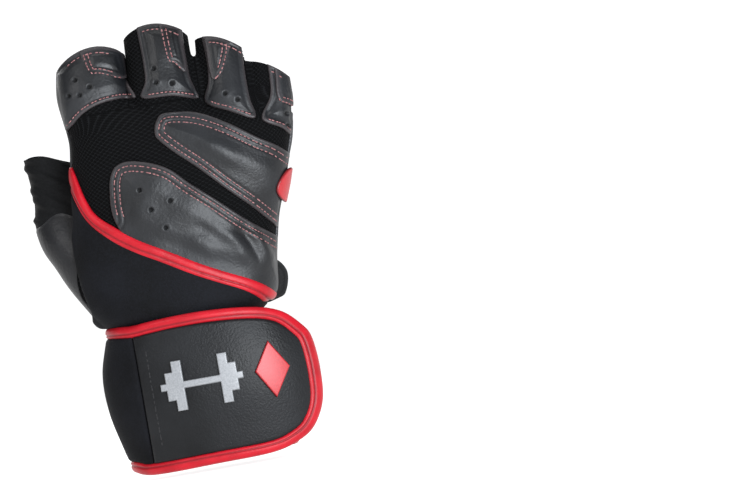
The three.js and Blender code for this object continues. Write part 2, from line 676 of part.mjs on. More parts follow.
// Wrist
const bindingOut = GAP + CUFF_BINDING_THICKNESS;
const bindingTop = CUFF_HEIGHT - CUFF_BINDING_THICKNESS;
const cuffHollow = cuffBody(-CUFF_WALL, CUFF_HEIGHT, CUFF_HEIGHT).add(handBody(GAP, false));
const cuffWrap = cuffBody(0, 0, 0)
  .subtract(cuffHollow)
  .intersect(slab(CUFF_BINDING_THICKNESS + GAP, bindingTop - GAP));
piece('cuff_wrap', cuffWrap, COLORS.neoprene, 0.8, 0);
const edgeBand = cuffBody(bindingOut, 0, 0).subtract(cuffHollow);
const cuffRoom = cuffBody(GAP, 0, 0).intersect(slab(CUFF_BINDING_THICKNESS, bindingTop));
const bindingRing = edgeBand.subtract(cuffRoom);
const topRing = bindingRing.intersect(slab(CUFF_HEIGHT - CUFF_BINDING_WIDTH, 2 * REACH));
piece('cuff_binding_top', topRing, COLORS.binding, 0.45, 0);
const bottomRing = bindingRing.intersect(slab(-REACH, CUFF_BINDING_WIDTH));
piece('cuff_binding_bottom', bottomRing, COLORS.binding, 0.45, 0);

// Strap: it lies over the cuff on the back and its rounded end stands off the cuff
const strapShift = STRAP_SHIFT * CUFF_WIDTH;
const strapSections = cuffRows.map((row) => ({
  ...row,
  x: row.x + strapShift,
  wide: row.wide + strapShift,
}));
const strapBody = (grow) => loft(
  extended(strapSections, CUFF_BINDING_WIDTH, CUFF_BINDING_WIDTH),
  HAND_POINTS,
  grow,
).add(cuffBody(grow, CUFF_BINDING_WIDTH, CUFF_BINDING_WIDTH));
const cuffOutline = (rows) => smoothOutline(
  rows.map(([x, z]) => [x * CUFF_WIDTH, z * CUFF_HEIGHT]),
  true,
);
const strapIn = bindingOut + GAP;
const strapOut = strapIn + STRAP_THICKNESS;
const strapEnd = STRAP_END_Y * CUFF_DEPTH;
const strapEdge = cuffOutline(STRAP_OUTLINE);
const strapInside = offsetOutline(strapEdge, -STRAP_BINDING_WIDTH);
const strapRing = prism(strapEdge, -REACH, strapEnd)
  .subtract(prism(strapInside, -2 * REACH, REACH));
const strapField = prism(offsetOutline(strapInside, -GAP), -REACH, strapEnd);
const strapSeam = STRAP_SEAM * CUFF_WIDTH;
const strapLayer = strapBody(strapOut).subtract(strapBody(strapIn));
const strapEdgeLayer = strapBody(strapOut + BINDING_RISE).subtract(strapBody(strapIn));
piece('strap_binding', strapEdgeLayer.intersect(strapRing), COLORS.binding, 0.45, 0);
const strapNeoprene = strapLayer
  .intersect(strapField)
  .intersect(acrossSlab(-2 * REACH, strapSeam - GAP / 2));
piece('strap_neoprene', strapNeoprene, COLORS.neoprene, 0.8, 0);
const strapPanel = strapLayer
  .intersect(strapField)
  .intersect(acrossSlab(strapSeam + GAP / 2, 2 * REACH));
piece('strap_panel', strapPanel, COLORS.leather, 0.5, 0);
const fastener = strapBody(strapIn - GAP)
  .subtract(cuffBody(GAP, 0, 0))
  .intersect(prism(cuffOutline(FASTENER_OUTLINE), -REACH, 0));
piece('strap_fastener', fastener, COLORS.mesh, 0.9, 0);
const badgeLayer = strapBody(strapOut + GAP + BADGE_THICKNESS).subtract(strapBody(strapOut + GAP));
const barbellHalf = (side) => BARBELL_STEPS.map(([x, z]) => (
  new THREE.Vector2(x * CUFF_WIDTH, (BARBELL_HEIGHT + side * z) * CUFF_HEIGHT)
));
const barbell = [...barbellHalf(-1), ...barbellHalf(1).reverse()];
piece('badge_barbell', badgeLayer.intersect(prism(barbell, -REACH, 0)), COLORS.badge, 0.4, 0);
const diamond = DIAMOND_OUTLINE.map(([x, z]) => (
  new THREE.Vector2(x * CUFF_WIDTH, z * CUFF_HEIGHT)
));
piece('badge_diamond', badgeLayer.intersect(prism(diamond, -REACH, 0)), COLORS.binding, 0.4, 0);

const glove = new THREE.Group();
glove.name = 'weightlifting_glove';
glove.add(...parts);

export default glove;
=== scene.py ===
import math
import random

import bpy
import numpy as np
from mathutils import Matrix, Vector
from mathutils.bvhtree import BVHTree


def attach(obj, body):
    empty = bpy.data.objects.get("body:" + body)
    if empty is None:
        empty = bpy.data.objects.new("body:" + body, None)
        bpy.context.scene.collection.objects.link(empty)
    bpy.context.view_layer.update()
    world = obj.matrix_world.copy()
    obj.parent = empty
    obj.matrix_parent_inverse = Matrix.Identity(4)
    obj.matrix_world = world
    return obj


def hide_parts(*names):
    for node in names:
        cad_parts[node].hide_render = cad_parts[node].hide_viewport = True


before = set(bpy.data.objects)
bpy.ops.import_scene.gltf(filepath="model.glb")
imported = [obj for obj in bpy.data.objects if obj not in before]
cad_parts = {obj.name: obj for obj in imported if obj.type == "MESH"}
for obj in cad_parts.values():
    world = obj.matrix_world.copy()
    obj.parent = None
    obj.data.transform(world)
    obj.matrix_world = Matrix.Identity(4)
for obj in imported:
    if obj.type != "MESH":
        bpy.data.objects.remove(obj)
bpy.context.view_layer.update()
bpy.ops.object.select_all(action="DESELECT")
random.seed(7)
rng = np.random.default_rng(7)
MM = 0.001

# The glove's form: the skin that every piece is sewn on or lies against, as a hand fills it.
# Hand, four finger stalls and thumb stall are lofted from sections, grown into one closed
# surface and smoothed. Nothing of it is shown itself.
# Columns, in mm: height, middle x, half width, middle y, half depth, slope to the little finger
HAND_ROWS = [
    (47.0, -1.2, 34.6, 0.0, 25.4, 0.0),
    (62.0, -1.5, 30.6, 0.0, 23.7, 0.0),
    (68.7, -1.5, 39.0, -0.5, 24.8, 0.0),
    (80.6, -3.5, 43.3, -0.9, 23.4, 0.0),
    (100.6, -1.5, 45.5, -0.9, 22.6, 0.0),
    (120.5, 3.5, 47.0, -1.4, 21.6, -0.05),
    (139.1, 7.0, 48.5, -1.4, 19.8, -0.1),
    (152.4, 8.0, 48.6, 0.0, 16.6, -0.18),
    (161.0, 8.5, 45.5, 2.8, 9.2, -0.22),
]
STALL_ROWS = {
    "index": [
        (123.2, -23.5, 15.0, -0.5, 11.7, 0.0),
        (155.1, -26.0, 15.3, 0.8, 13.8, 0.0),
        (173.7, -27.4, 15.0, 5.2, 13.3, 0.06),
        (188.6, -26.6, 13.8, 10.9, 12.7, 0.12),
    ],
    "middle": [
        (123.2, 3.0, 15.0, -2.1, 12.2, 0.0),
        (155.1, 3.6, 15.4, -0.8, 14.3, 0.0),
        (176.4, 4.2, 14.9, 4.2, 13.8, -0.05),
        (194.3, 4.6, 14.3, 10.9, 13.3, -0.1),
    ],
    "ring": [
        (120.5, 31.0, 13.2, -1.0, 11.4, 0.0),
        (149.8, 32.7, 13.3, 0.0, 13.5, -0.1),
        (167.1, 33.4, 12.7, 4.7, 13.0, -0.3),
        (182.6, 34.0, 12.2, 9.9, 12.2, -0.5),
    ],
    "little": [
        (115.2, 40.0, 9.0, 2.1, 9.4, 0.0),
        (139.1, 46.5, 10.1, 2.6, 11.7, -0.15),
        (153.8, 49.4, 9.7, 5.7, 11.7, -0.35),
        (168.0, 51.6, 9.2, 9.9, 11.2, -0.55),
    ],
}
THUMB_ROWS = [
    (67.3, -27.0, 15.0, 1.0, 12.0, 0.0),
    (80.6, -33.0, 17.1, 4.2, 14.6, 0.0),
    (93.9, -39.7, 17.4, 8.3, 16.1, 0.0),
    (104.6, -44.2, 17.7, 12.5, 16.6, 0.0),
    (115.2, -47.8, 16.65, 17.7, 15.6, -0.06),
    (127.2, -48.6, 14.4, 23.9, 14.3, -0.16),
    (143.1, -51.8, 13.4, 30.7, 13.5, -0.3),
]
WEB_ROWS = [
    (152.0, 20.2, 3.6, 0.5, 9.5, 0.0),
    (166.0, 20.3, 3.4, 2.5, 8.5, 0.0),
    (179.0, 20.5, 3.0, 6.5, 6.5, 0.0),
]
MIDDLE_Z = np.array([-10.0, 101.9, 139.1, 157.8, 176.4, 195.0, 225.0])
MIDDLE_Y = np.array([-0.5, -0.9, 0.0, 2.3, 6.4, 11.5, 19.3])
BETWEEN_FINGERS = (-11.9, 20.4, 42.4)
FORM_VOXEL = 0.85
HEM_TILT = -0.12
HEM_ARCH = 0.024
HEM_RISE = 0.9


def fine_rows(rows, past, steps=7):
    """Rows with smooth rows between them, carried on past the last one."""
    rows = np.array(rows)
    if past:
        step = rows[-1] - rows[-2]
        end = rows[-1] + step * past / step[0]
        end[5] = rows[-1][5]
        rows = np.vstack([rows, end])
    padded = np.vstack([2 * rows[0] - rows[1], rows, 2 * rows[-1] - rows[-2]])
    out = []
    for i in range(1, len(padded) - 2):
        a, b, c, d = padded[i - 1 : i + 3]
        for t in np.arange(steps) / steps:
            out.append(
                0.5
                * (
                    2 * b
                    + (c - a) * t
                    + (2 * a - 5 * b + 4 * c - d) * t**2
                    + (3 * b - a - 3 * c + d) * t**3
                )
            )
    return np.array(out + [rows[-1]])


def loft_surface(rows, around=72, power=2.35):
    """Closed lofted surface as points and faces, in mm."""
    angle = np.linspace(0, 2 * np.pi, around, endpoint=False)
    across = np.sign(np.cos(angle)) * np.abs(np.cos(angle)) ** (2 / power)
    out = np.sign(np.sin(angle)) * np.abs(np.sin(angle)) ** (2 / power)
    points = []
    for z, x, wide, y, deep, slope in rows:
        dx = across * wide
        points.append(np.stack([x + dx, y + out * deep, z + slope * dx], 1))
    faces = []
    for row in range(len(rows) - 1):
        for i in range(around):
            a = row * around + i
            b = row * around + (i + 1) % around
            faces.append((a, b, b + around, a + around))
    faces.append(tuple(range(around))[::-1])
    faces.append(tuple((len(rows) - 1) * around + i for i in range(around)))
    return np.vstack(points), faces


def new_object(name, points, faces, smooth=True):
    """Mesh object from points in mm."""
    mesh = bpy.data.meshes.new(name)
    listed = faces.tolist() if isinstance(faces, np.ndarray) else faces
    mesh.from_pydata((np.asarray(points) * MM).tolist(), [], listed)
    mesh.polygons.foreach_set("use_smooth", [smooth] * len(mesh.polygons))
    mesh.update()
    obj = bpy.data.objects.new(name, mesh)
    bpy.context.collection.objects.link(obj)
    return obj


def apply_modifiers(obj):
    bpy.ops.object.select_all(action="DESELECT")
    obj.select_set(True)
    bpy.context.view_layer.objects.active = obj
    for modifier in list(obj.modifiers):
        bpy.ops.object.modifier_apply(modifier=modifier.name)


def surface_of(obj):
    """Points in mm, normals and triangles of an object, which is then removed."""
    mesh = obj.data
    mesh.calc_loop_triangles()
    points = np.empty(len(mesh.vertices) * 3)
    mesh.vertices.foreach_get("co", points)
    normals = np.empty(len(mesh.vertices) * 3)
    mesh.vertices.foreach_get("normal", normals)
    triangles = np.empty(len(mesh.loop_triangles) * 3, dtype=int)
    mesh.loop_triangles.foreach_get("vertices", triangles)
    bpy.data.objects.remove(obj)
    return (
        points.reshape(-1, 3) / MM,
        normals.reshape(-1, 3),
        triangles.reshape(-1, 3),
    )


def merged_form(name, lofts, voxel, rounds):
    """One smooth closed surface through several lofts."""
    points = []
    faces = []
    count = 0
    for loft_points, loft_faces in lofts:
        points.append(loft_points)
        faces += [tuple(i + count for i in face) for face in loft_faces]
        count += len(loft_points)
    obj = new_object(name, np.vstack(points), faces)
    remesh = obj.modifiers.new("grow_together", "REMESH")
    remesh.mode = "VOXEL"
    remesh.voxel_size = voxel * MM
    remesh.use_smooth_shade = True
    relax = obj.modifiers.new("relax", "SMOOTH")
    relax.factor = 0.5
    relax.iterations = rounds
    apply_modifiers(obj)
    return surface_of(obj)


def section_at(rows, z):
    """Section of a table of rows at each height, as columns."""
    rows = np.array(rows)
    return [np.interp(z, rows[:, 0], rows[:, k]) for k in range(1, 5)]


def fold(points, normals, start, end, height, width):
    """Raises a soft fold between two points seen from the front or back, in mm."""
    start = np.array(start, float)
    along = np.array(end, float) - start
    length = np.linalg.norm(along)
    along /= length
    rel = points[:, [0, 2]] - start
    t = rel @ along
    side = rel @ np.array([-along[1], along[0]])
    bend = 0.06 * length * np.sin(np.pi * np.clip(t / length, 0, 1))
    fade = np.clip(np.minimum(t, length - t) / (0.35 * length), 0, 1)
    fade = fade * fade * (3 - 2 * fade)
    return height * fade * np.exp(-(((side - bend) / width) ** 2))


form_lofts = [loft_surface(fine_rows(HAND_ROWS, 0))]
for finger_rows in STALL_ROWS.values():
    form_lofts.append(loft_surface(fine_rows(finger_rows, 9)))
form_lofts.append(loft_surface(fine_rows(THUMB_ROWS, 9)))
form_lofts.append(loft_surface(fine_rows(WEB_ROWS, 0)))
form_points, form_normals, form_faces = merged_form("glove_form", form_lofts, FORM_VOXEL, 5)

# Soft unevenness, creases at the thumb's root and folds over the lower back
xs, ys, zs = form_points.T
back_side = np.clip(-form_normals[:, 1] * 2, 0, 1)
palm_side = np.clip(form_normals[:, 1] * 2, 0, 1)
lift = 0.35 * np.sin(xs * 0.21 + 1.3 * np.sin(zs * 0.09)) * np.sin(zs * 0.17 + 0.6)
for start, end, height, width in [
    ((25.5, 103), (33, 79), -1.1, 2.0),
    ((30.5, 103), (37, 79), 1.2, 2.1),
    ((36, 102), (41, 81), -0.9, 1.8),
    ((20, 101), (28, 82), 0.7, 2.6),
    ((6, 106), (21, 90), -0.6, 3.0),
    ((2, 100), (16, 86), 0.5, 3.0),
    ((-22, 108), (-10, 128), -0.5, 3.0),
    ((14, 140), (34, 128), 0.5, 3.2),
    ((24, 130), (44, 112), -0.5, 3.0),
]:
    lift = lift + back_side * fold(form_points, form_normals, start, end, height, width)
for start, end, height, width in [
    ((-30, 98), (-44, 122), 1.3, 2.4),
    ((-26, 104), (-38, 126), -1.2, 2.2),
    ((-34, 94), (-50, 116), -1.1, 2.4),
    ((-22, 110), (-33, 128), 1.0, 2.2),
    ((-40, 92), (-55, 112), 0.8, 2.6),
]:
    lift = lift + palm_side * fold(form_points, form_normals, start, end, height, width)
form_points = form_points + form_normals * lift[:, None]


def clip(data, faces, keep):
    """Keeps the part of a surface where keep is above zero, cut cleanly along the zero line.

    data holds one row per point, with the place in its first three columns and the normal
    in the next three, and is carried over to the new points."""
    inside = keep > 0
    count = inside[faces].sum(1)
    rows = np.arange(len(faces))

    def odd_first(chosen, odd):
        first = odd[chosen].argmax(1)
        local = np.arange(len(chosen))
        return np.stack([chosen[local, (first + i) % 3] for i in range(3)], 1)

    one = odd_first(faces[rows[count == 1]], inside)
    two = odd_first(faces[rows[count == 2]], ~inside)
    edges = np.concatenate([one[:, [0, 1]], one[:, [0, 2]], two[:, [0, 1]], two[:, [0, 2]]])
    unique, index = np.unique(np.sort(edges, 1), axis=0, return_inverse=True)
    index = index.reshape(-1)
    a, b = unique.T
    t = (keep[a] / (keep[a] - keep[b]))[:, None]
    added = data[a] * (1 - t) + data[b] * t
    data = np.vstack([data, added])
    ids = index + len(keep)
    first, second, third, fourth = np.split(
        ids, [len(one), 2 * len(one), 2 * len(one) + len(two)]
    )
    kept = np.vstack(
        [
            faces[count == 3],
            np.stack([one[:, 0], first, second], 1),
            np.stack([third, two[:, 1], two[:, 2]], 1),
            np.stack([third, two[:, 2], fourth], 1),
        ]
    )
    used, kept = np.unique(kept, return_inverse=True)
    return data[used], kept.reshape(-1, 3)


def finer(data, faces):
    """Each triangle split into four."""
    edges = np.sort(np.vstack([faces[:, [0, 1]], faces[:, [1, 2]], faces[:, [2, 0]]]), 1)
    unique, index = np.unique(edges, axis=0, return_inverse=True)
    middle = (data[unique[:, 0]] + data[unique[:, 1]]) / 2
    ab, bc, ca = np.split(index.reshape(-1) + len(data), 3)
    a, b, c = faces.T
    split = np.vstack(
        [
            np.stack([a, ab, ca], 1),
            np.stack([ab, b, bc], 1),
            np.stack([ca, bc, c], 1),
            np.stack([ab, bc, ca], 1),
        ]
    )
    return np.vstack([data, middle]), split


def unit(vectors):
    return vectors / np.maximum(np.linalg.norm(vectors, axis=1), 1e-9)[:, None]


def walled(top, bottom, faces):
    """Closed body between two sheets that share their faces."""
    edges = np.vstack([faces[:, [0, 1]], faces[:, [1, 2]], faces[:, [2, 0]]])
    ordered = np.sort(edges, 1)
    _, index, counts = np.unique(ordered, axis=0, return_inverse=True, return_counts=True)
    rim = edges[counts[index.reshape(-1)] == 1]
    n = len(top)
    a, b = rim.T
    sides = np.vstack([np.stack([b, a, a + n], 1), np.stack([b, a + n, b + n], 1)])
    return np.vstack([top, bottom]), np.vstack([faces, faces[:, ::-1] + n, sides])


def largest_parts(data, faces, least=60):
    """Drops stray scraps of a cut surface."""
    parent = np.arange(len(data))
    while True:
        low = parent[faces].min(1)
        before = parent.copy()
        for k in range(3):
            np.minimum.at(parent, faces[:, k], low)
        parent = parent[parent]
        if (parent == before).all():
            break
    labels, counts = np.unique(parent[faces[:, 0]], return_counts=True)
    good = np.isin(parent[faces[:, 0]], labels[counts >= least])
    used, kept = np.unique(faces[good], return_inverse=True)
    return data[used], kept.reshape(-1, 3)


def finish_piece(name, points, faces, material, nodes, edge=None, uv=None, painted_pit_shade=None):
    """Makes a piece of the glove from its closed mesh and fixes it to the frame."""
    obj = new_object(name, points, faces)
    mesh = obj.data
    for kind, values in (("edge", edge), ("painted_pit_shade", painted_pit_shade)):
        if values is not None:
            layer = mesh.attributes.new(kind, "FLOAT", "POINT")
            layer.data.foreach_set("value", np.asarray(values, dtype=np.float32))
    if uv is not None:
        corners = np.empty(len(mesh.loops), dtype=int)
        mesh.loops.foreach_get("vertex_index", corners)
        layer = mesh.uv_layers.new(name="cloth")
        layer.data.foreach_set("uv", (uv[corners] * MM).astype(np.float32).ravel())
    mesh.materials.append(material)
    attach(obj, "root")
    if nodes:
        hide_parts(*nodes)
    return obj


def smooth_line(rows, closed, steps=8):
    """Points on a smooth line through the rows of a table, in mm."""
    rows = np.array(rows, float)
    if closed:
        padded = np.vstack([rows[-1], rows, rows[0], rows[1]])
    else:
        padded = np.vstack([2 * rows[0] - rows[1], rows, 2 * rows[-1] - rows[-2]])
    out = []
    for i in range(1, len(padded) - 2):
        a, b, c, d = padded[i - 1 : i + 3]
        for t in np.arange(steps) / steps:
            out.append(
                0.5
                * (
                    2 * b
                    + (c - a) * t
                    + (2 * a - 5 * b + 4 * c - d) * t**2
                    + (3 * b - a - 3 * c + d) * t**3
                )
            )
    if not closed:
        out.append(rows[-1])
    return np.array(out)


def cut_corners(rows):
    """Closed outline with straight sides and small rounded corners."""
    line = np.array(rows, float)
    for share in (0.2, 0.25, 0.25):
        after = np.roll(line, -1, 0)
        line = np.stack([line + (after - line) * share, after + (line - after) * share], 1).reshape(-1, 2)
    return line


def line_distance(points, line, closed):
    """Distance from each point to a line, both seen from the front, in mm."""
    ends = np.roll(line, -1, 0) if closed else line[1:]
    starts = line if closed else line[:-1]
    best = np.full(len(points), 1e9)
    for start, end in zip(starts, ends):
        along = end - start
        t = np.clip(((points - start) @ along) / max(along @ along, 1e-9), 0, 1)
        gap = points - start - t[:, None] * along
        best = np.minimum(best, np.einsum("ij,ij->i", gap, gap))
    return np.sqrt(best)


def inside_distance(points, outline):
    """Distance to a closed outline, above zero inside it, in mm."""
    x, z = points.T
    crossings = np.zeros(len(points), dtype=bool)
    for (x1, z1), (x2, z2) in zip(outline, np.roll(outline, -1, 0)):
        if z1 == z2:
            continue
        hit = (z1 > z) != (z2 > z)
        crossings ^= hit & (x < (x2 - x1) * (z - z1) / (z2 - z1) + x1)
    far = line_distance(points, outline, True)
    return np.where(crossings, far, -far)


def middle_y(z):
    return np.interp(z, MIDDLE_Z, MIDDLE_Y)


def hem_height(points):
    """Height of the finger hem above each point, by the finger that it is on."""
    which = np.digitize(points[:, 0], BETWEEN_FINGERS)
    out = np.zeros(len(points))
    for number, finger_rows in enumerate(STALL_ROWS.values()):
        z, x, wide, y, _, slope = finger_rows[-1]
        dx = points[:, 0] - x
        height = z + HEM_RISE + slope * dx + HEM_TILT * (points[:, 1] - y) - HEM_ARCH * dx**2
        out = np.where(which == number, height, out)
    return out


def cloth_map(points):
    """Cloth coordinates: how far round the hand or the finger, and how high, in mm."""
    z = points[:, 2]
    x, wide, y, deep = section_at(HAND_ROWS, z)
    around = np.arctan2((points[:, 1] - y) / deep, (points[:, 0] - x) / wide) * 38
    which = np.digitize(points[:, 0], BETWEEN_FINGERS)
    for number, finger_rows in enumerate(STALL_ROWS.values()):
        x, wide, y, deep = section_at(finger_rows, z)
        turn = np.arctan2((points[:, 1] - y) / deep, (points[:, 0] - x) / wide) * 14
        around = np.where((which == number) & (z > 161), turn, around)
    return np.stack([around, z], 1)


# The skin is cut off at the finger hems, at the thumb's hem and inside the cuff, and parted
# into the hand and the thumb stall
thumb_end = THUMB_ROWS[-1]
skin = np.hstack([form_points, unit(form_normals)])
x, wide, y, deep = section_at(THUMB_ROWS, form_points[:, 2])
in_thumb = ((form_points[:, 0] - x) / wide) ** 2 + ((form_points[:, 1] - y) / deep) ** 2
x, wide, y, deep = section_at(HAND_ROWS, np.minimum(form_points[:, 2], 152.0))
in_hand = ((form_points[:, 0] - x) / wide) ** 2 + ((form_points[:, 1] - y) / deep) ** 2
thumb_side = np.where(form_points[:, 2] < 66, -1.0, in_hand - in_thumb)
past_index = form_points[:, 1] - 15.5 - 0.5 * np.maximum(form_points[:, 2] - 152, 0)
past_index = np.minimum(past_index, -30 - form_points[:, 0])
past_index = np.maximum(past_index, -43.2 - form_points[:, 0])
thumb_side = np.where(form_points[:, 2] > 136, np.sign(past_index), thumb_side)
thumb_side = np.where(form_points[:, 0] > -22, -1.0, thumb_side)
hand_skin, hand_faces = clip(skin, form_faces, -thumb_side)
thumb_skin, thumb_faces = clip(skin, form_faces, thumb_side)
hand_skin, hand_faces = clip(hand_skin, hand_faces, hem_height(hand_skin) - hand_skin[:, 2])
hand_skin, hand_faces = clip(hand_skin, hand_faces, hand_skin[:, 2] - 48.0)
hand_skin, hand_faces = largest_parts(hand_skin, hand_faces)
thumb_top = (
    thumb_end[0]
    + thumb_end[5] * (thumb_skin[:, 0] - thumb_end[1])
    - 0.1 * (thumb_skin[:, 1] - thumb_end[3])
    + 0.6 * np.sin(thumb_skin[:, 1] * 0.5)
    + 1.2
    - 3.0 * np.clip((thumb_end[1] - 7.5 - thumb_skin[:, 0]) / 6.5, 0, 1.3) ** 2
)
thumb_skin, thumb_faces = clip(thumb_skin, thumb_faces, thumb_top - thumb_skin[:, 2])
thumb_skin, thumb_faces = largest_parts(thumb_skin, thumb_faces)


# Back of the hand and of the stalls: black stretch mesh, a knit with open diamond cells, in
# one piece from the cuff to the hems, where its edge is turned in and stitched.
def node(tree, kind, place, **values):
    """Shader node with its settings and plain input values."""
    made = tree.nodes.new(kind)
    made.location = place
    for key, value in values.items():
        if hasattr(made, key):
            setattr(made, key, value)
        else:
            made.inputs[key.replace("_", " ")].default_value = value
    return made


def finish_material(name):
    """New material with its shader, and its tree."""
    material = bpy.data.materials.new(name)
    material.use_nodes = True
    tree = material.node_tree
    shader = tree.nodes["Principled BSDF"]
    shader.location = (700, 0)
    tree.nodes["Material Output"].location = (1000, 0)
    return material, tree, shader


def group_with(name, inputs, outputs):
    """Node group with named sockets, and its two end nodes."""
    tree = bpy.data.node_groups.new(name, "ShaderNodeTree")
    for socket, kind, value in inputs:
        made = tree.interface.new_socket(name=socket, in_out="INPUT", socket_type=kind)
        if value is not None:
            made.default_value = value
    for socket, kind in outputs:
        tree.interface.new_socket(name=socket, in_out="OUTPUT", socket_type=kind)
    start = node(tree, "NodeGroupInput", (-800, 0))
    end = node(tree, "NodeGroupOutput", (800, 0))
    return tree, start, end


def maths(tree, operation, first, second, place, clamp=False):
    """Math node fed by sockets or numbers; its result."""
    made = tree.nodes.new("ShaderNodeMath")
    made.operation = operation
    made.use_clamp = clamp
    made.location = place
    for socket, value in zip(made.inputs, (first, second)):
        if value is None:
            continue
        if isinstance(value, (int, float)):
            socket.default_value = value
        else:
            tree.links.new(value, socket)
    return made.outputs[0]


# Weave: rows of rounded cells, as wide as Width and as high as Height, set in brick order
weave_group, start, end = group_with(
    "cell_weave",
    [
        ("Width", "NodeSocketFloat", 0.0024),
        ("Height", "NodeSocketFloat", 0.0016),
    ],
    [("Hole", "NodeSocketFloat"), ("Thread", "NodeSocketFloat")],
)
cloth = node(weave_group, "ShaderNodeUVMap", (-800, 300), uv_map="cloth")
axes = node(weave_group, "ShaderNodeSeparateXYZ", (-600, 300))
weave_group.links.new(cloth.outputs[0], axes.inputs[0])
across = maths(weave_group, "DIVIDE", axes.outputs[0], start.outputs["Width"], (-400, 300))
up = maths(weave_group, "DIVIDE", axes.outputs[1], start.outputs["Height"], (-400, 100))
wave_a = maths(weave_group, "MULTIPLY", maths(weave_group, "ADD", across, up, (-250, 300)), math.pi, (-100, 300))
wave_b = maths(weave_group, "MULTIPLY", maths(weave_group, "SUBTRACT", across, up, (-250, 100)), math.pi, (-100, 100))
sine_a = maths(weave_group, "ABSOLUTE", maths(weave_group, "SINE", wave_a, None, (50, 300)), None, (200, 300))
sine_b = maths(weave_group, "ABSOLUTE", maths(weave_group, "SINE", wave_b, None, (50, 100)), None, (200, 100))
cell = maths(weave_group, "MULTIPLY", sine_a, sine_b, (350, 200))
hole = maths(weave_group, "SMOOTH_MIN", maths(weave_group, "MULTIPLY", cell, 1.8, (500, 200)), 1.0, (600, 200))
weave_group.links.new(hole, end.inputs["Hole"])
thread = maths(weave_group, "SUBTRACT", 1.0, hole, (650, 0), clamp=True)
weave_group.links.new(thread, end.inputs["Thread"])

mesh_cloth, tree, shader = finish_material("black_stretch_mesh")
weave = node(tree, "ShaderNodeGroup", (-500, 0), node_tree=weave_group)
weave.inputs["Width"].default_value = 0.0026
weave.inputs["Height"].default_value = 0.0019
spot = node(tree, "ShaderNodeTexCoord", (-900, 300))
fluff = node(tree, "ShaderNodeTexNoise", (-700, 300), Scale=900.0, Detail=2.0)
tree.links.new(spot.outputs["Object"], fluff.inputs["Vector"])
ramp = node(tree, "ShaderNodeValToRGB", (-200, 100))
ramp.color_ramp.elements[0].color = (0.0012, 0.0012, 0.0014, 1)
ramp.color_ramp.elements[1].color = (0.0065, 0.0068, 0.0075, 1)
tree.links.new(weave.outputs["Thread"], ramp.inputs[0])
tree.links.new(ramp.outputs[0], shader.inputs["Base Color"])
height = maths(tree, "ADD", weave.outputs["Thread"], maths(tree, "MULTIPLY", fluff.outputs[0], 0.3, (-400, 300)), (-200, -100))
bump = node(tree, "ShaderNodeBump", (300, -200), Strength=0.9, Distance=0.0005)
tree.links.new(height, bump.inputs["Height"])
tree.links.new(bump.outputs[0], shader.inputs["Normal"])
shader.inputs["Roughness"].default_value = 0.82
shader.inputs["Specular IOR Level"].default_value = 0.07

BASE_WALL = 1.5
back_data, back_faces = clip(hand_skin, hand_faces, middle_y(hand_skin[:, 2]) - hand_skin[:, 1])
back_data, back_faces = largest_parts(back_data, back_faces)
top = back_data[:, :3]
bottom = top - unit(back_data[:, 3:6]) * BASE_WALL
points, faces = walled(top, bottom, back_faces)
back_mesh = finish_piece(
    "back_mesh_cloth", points, faces, mesh_cloth, ["back_mesh"], uv=cloth_map(points)
)


SHORTEST_SIDE = 10.5


def cloth_sheet(data, faces, length, sides=1):
    """Works out the area of a piece's own skin and a cloth length from it, within the given length, in mm; the result
    is not used.
    """
    a, b, c = (data[faces[:, k], :3] for k in range(3))
    area = np.linalg.norm(np.cross(b - a, c - a), axis=1).sum() / 2 / sides
    length = max(min(length, area / SHORTEST_SIDE), SHORTEST_SIDE)


cloth_sheet(back_data, back_faces, 150)

# Palm half of the hand and of the stalls: soft black palm hide, sewn to the back along the
# sides of the fingers; its hems are turned in.
# Grain: shallow pebbles of the hide, finer noise in them and slow changes of tone
grain_group, start, end = group_with(
    "hide_grain",
    [("Pebbles", "NodeSocketFloat", 850.0)],
    [("Height", "NodeSocketFloat"), ("Tone", "NodeSocketFloat"), ("Edge", "NodeSocketFloat")],
)
spot = node(grain_group, "ShaderNodeTexCoord", (-1000, 0))
stir = node(grain_group, "ShaderNodeTexNoise", (-800, 200), Scale=300.0, Detail=2.0)
grain_group.links.new(spot.outputs["Object"], stir.inputs["Vector"])
mix = node(grain_group, "ShaderNodeMix", (-600, 100), data_type="RGBA")
mix.inputs[0].default_value = 0.002
grain_group.links.new(spot.outputs["Object"], mix.inputs[6])
grain_group.links.new(stir.outputs["Color"], mix.inputs[7])
pebble = node(grain_group, "ShaderNodeTexVoronoi", (-350, 200), feature="SMOOTH_F1")
grain_group.links.new(mix.outputs[2], pebble.inputs["Vector"])
grain_group.links.new(start.outputs["Pebbles"], pebble.inputs["Scale"])
fine = node(grain_group, "ShaderNodeTexNoise", (-350, -50), Scale=2400.0, Detail=3.0)
grain_group.links.new(spot.outputs["Object"], fine.inputs["Vector"])
slow = node(grain_group, "ShaderNodeTexNoise", (-350, -300), Scale=38.0, Detail=4.0)
grain_group.links.new(spot.outputs["Object"], slow.inputs["Vector"])
relief = maths(grain_group, "SUBTRACT", maths(grain_group, "MULTIPLY", fine.outputs[0], 0.35, (0, 0)), pebble.outputs["Distance"], (200, 100))
grain_group.links.new(relief, end.inputs["Height"])
grain_group.links.new(slow.outputs[0], end.inputs["Tone"])
edge_band = node(grain_group, "ShaderNodeAttribute", (0, -300), attribute_name="edge")
near = maths(grain_group, "SUBTRACT", 1.0, maths(grain_group, "DIVIDE", edge_band.outputs["Fac"], 1.6, (200, -300)), (400, -300), clamp=True)
grain_group.links.new(near, end.inputs["Edge"])


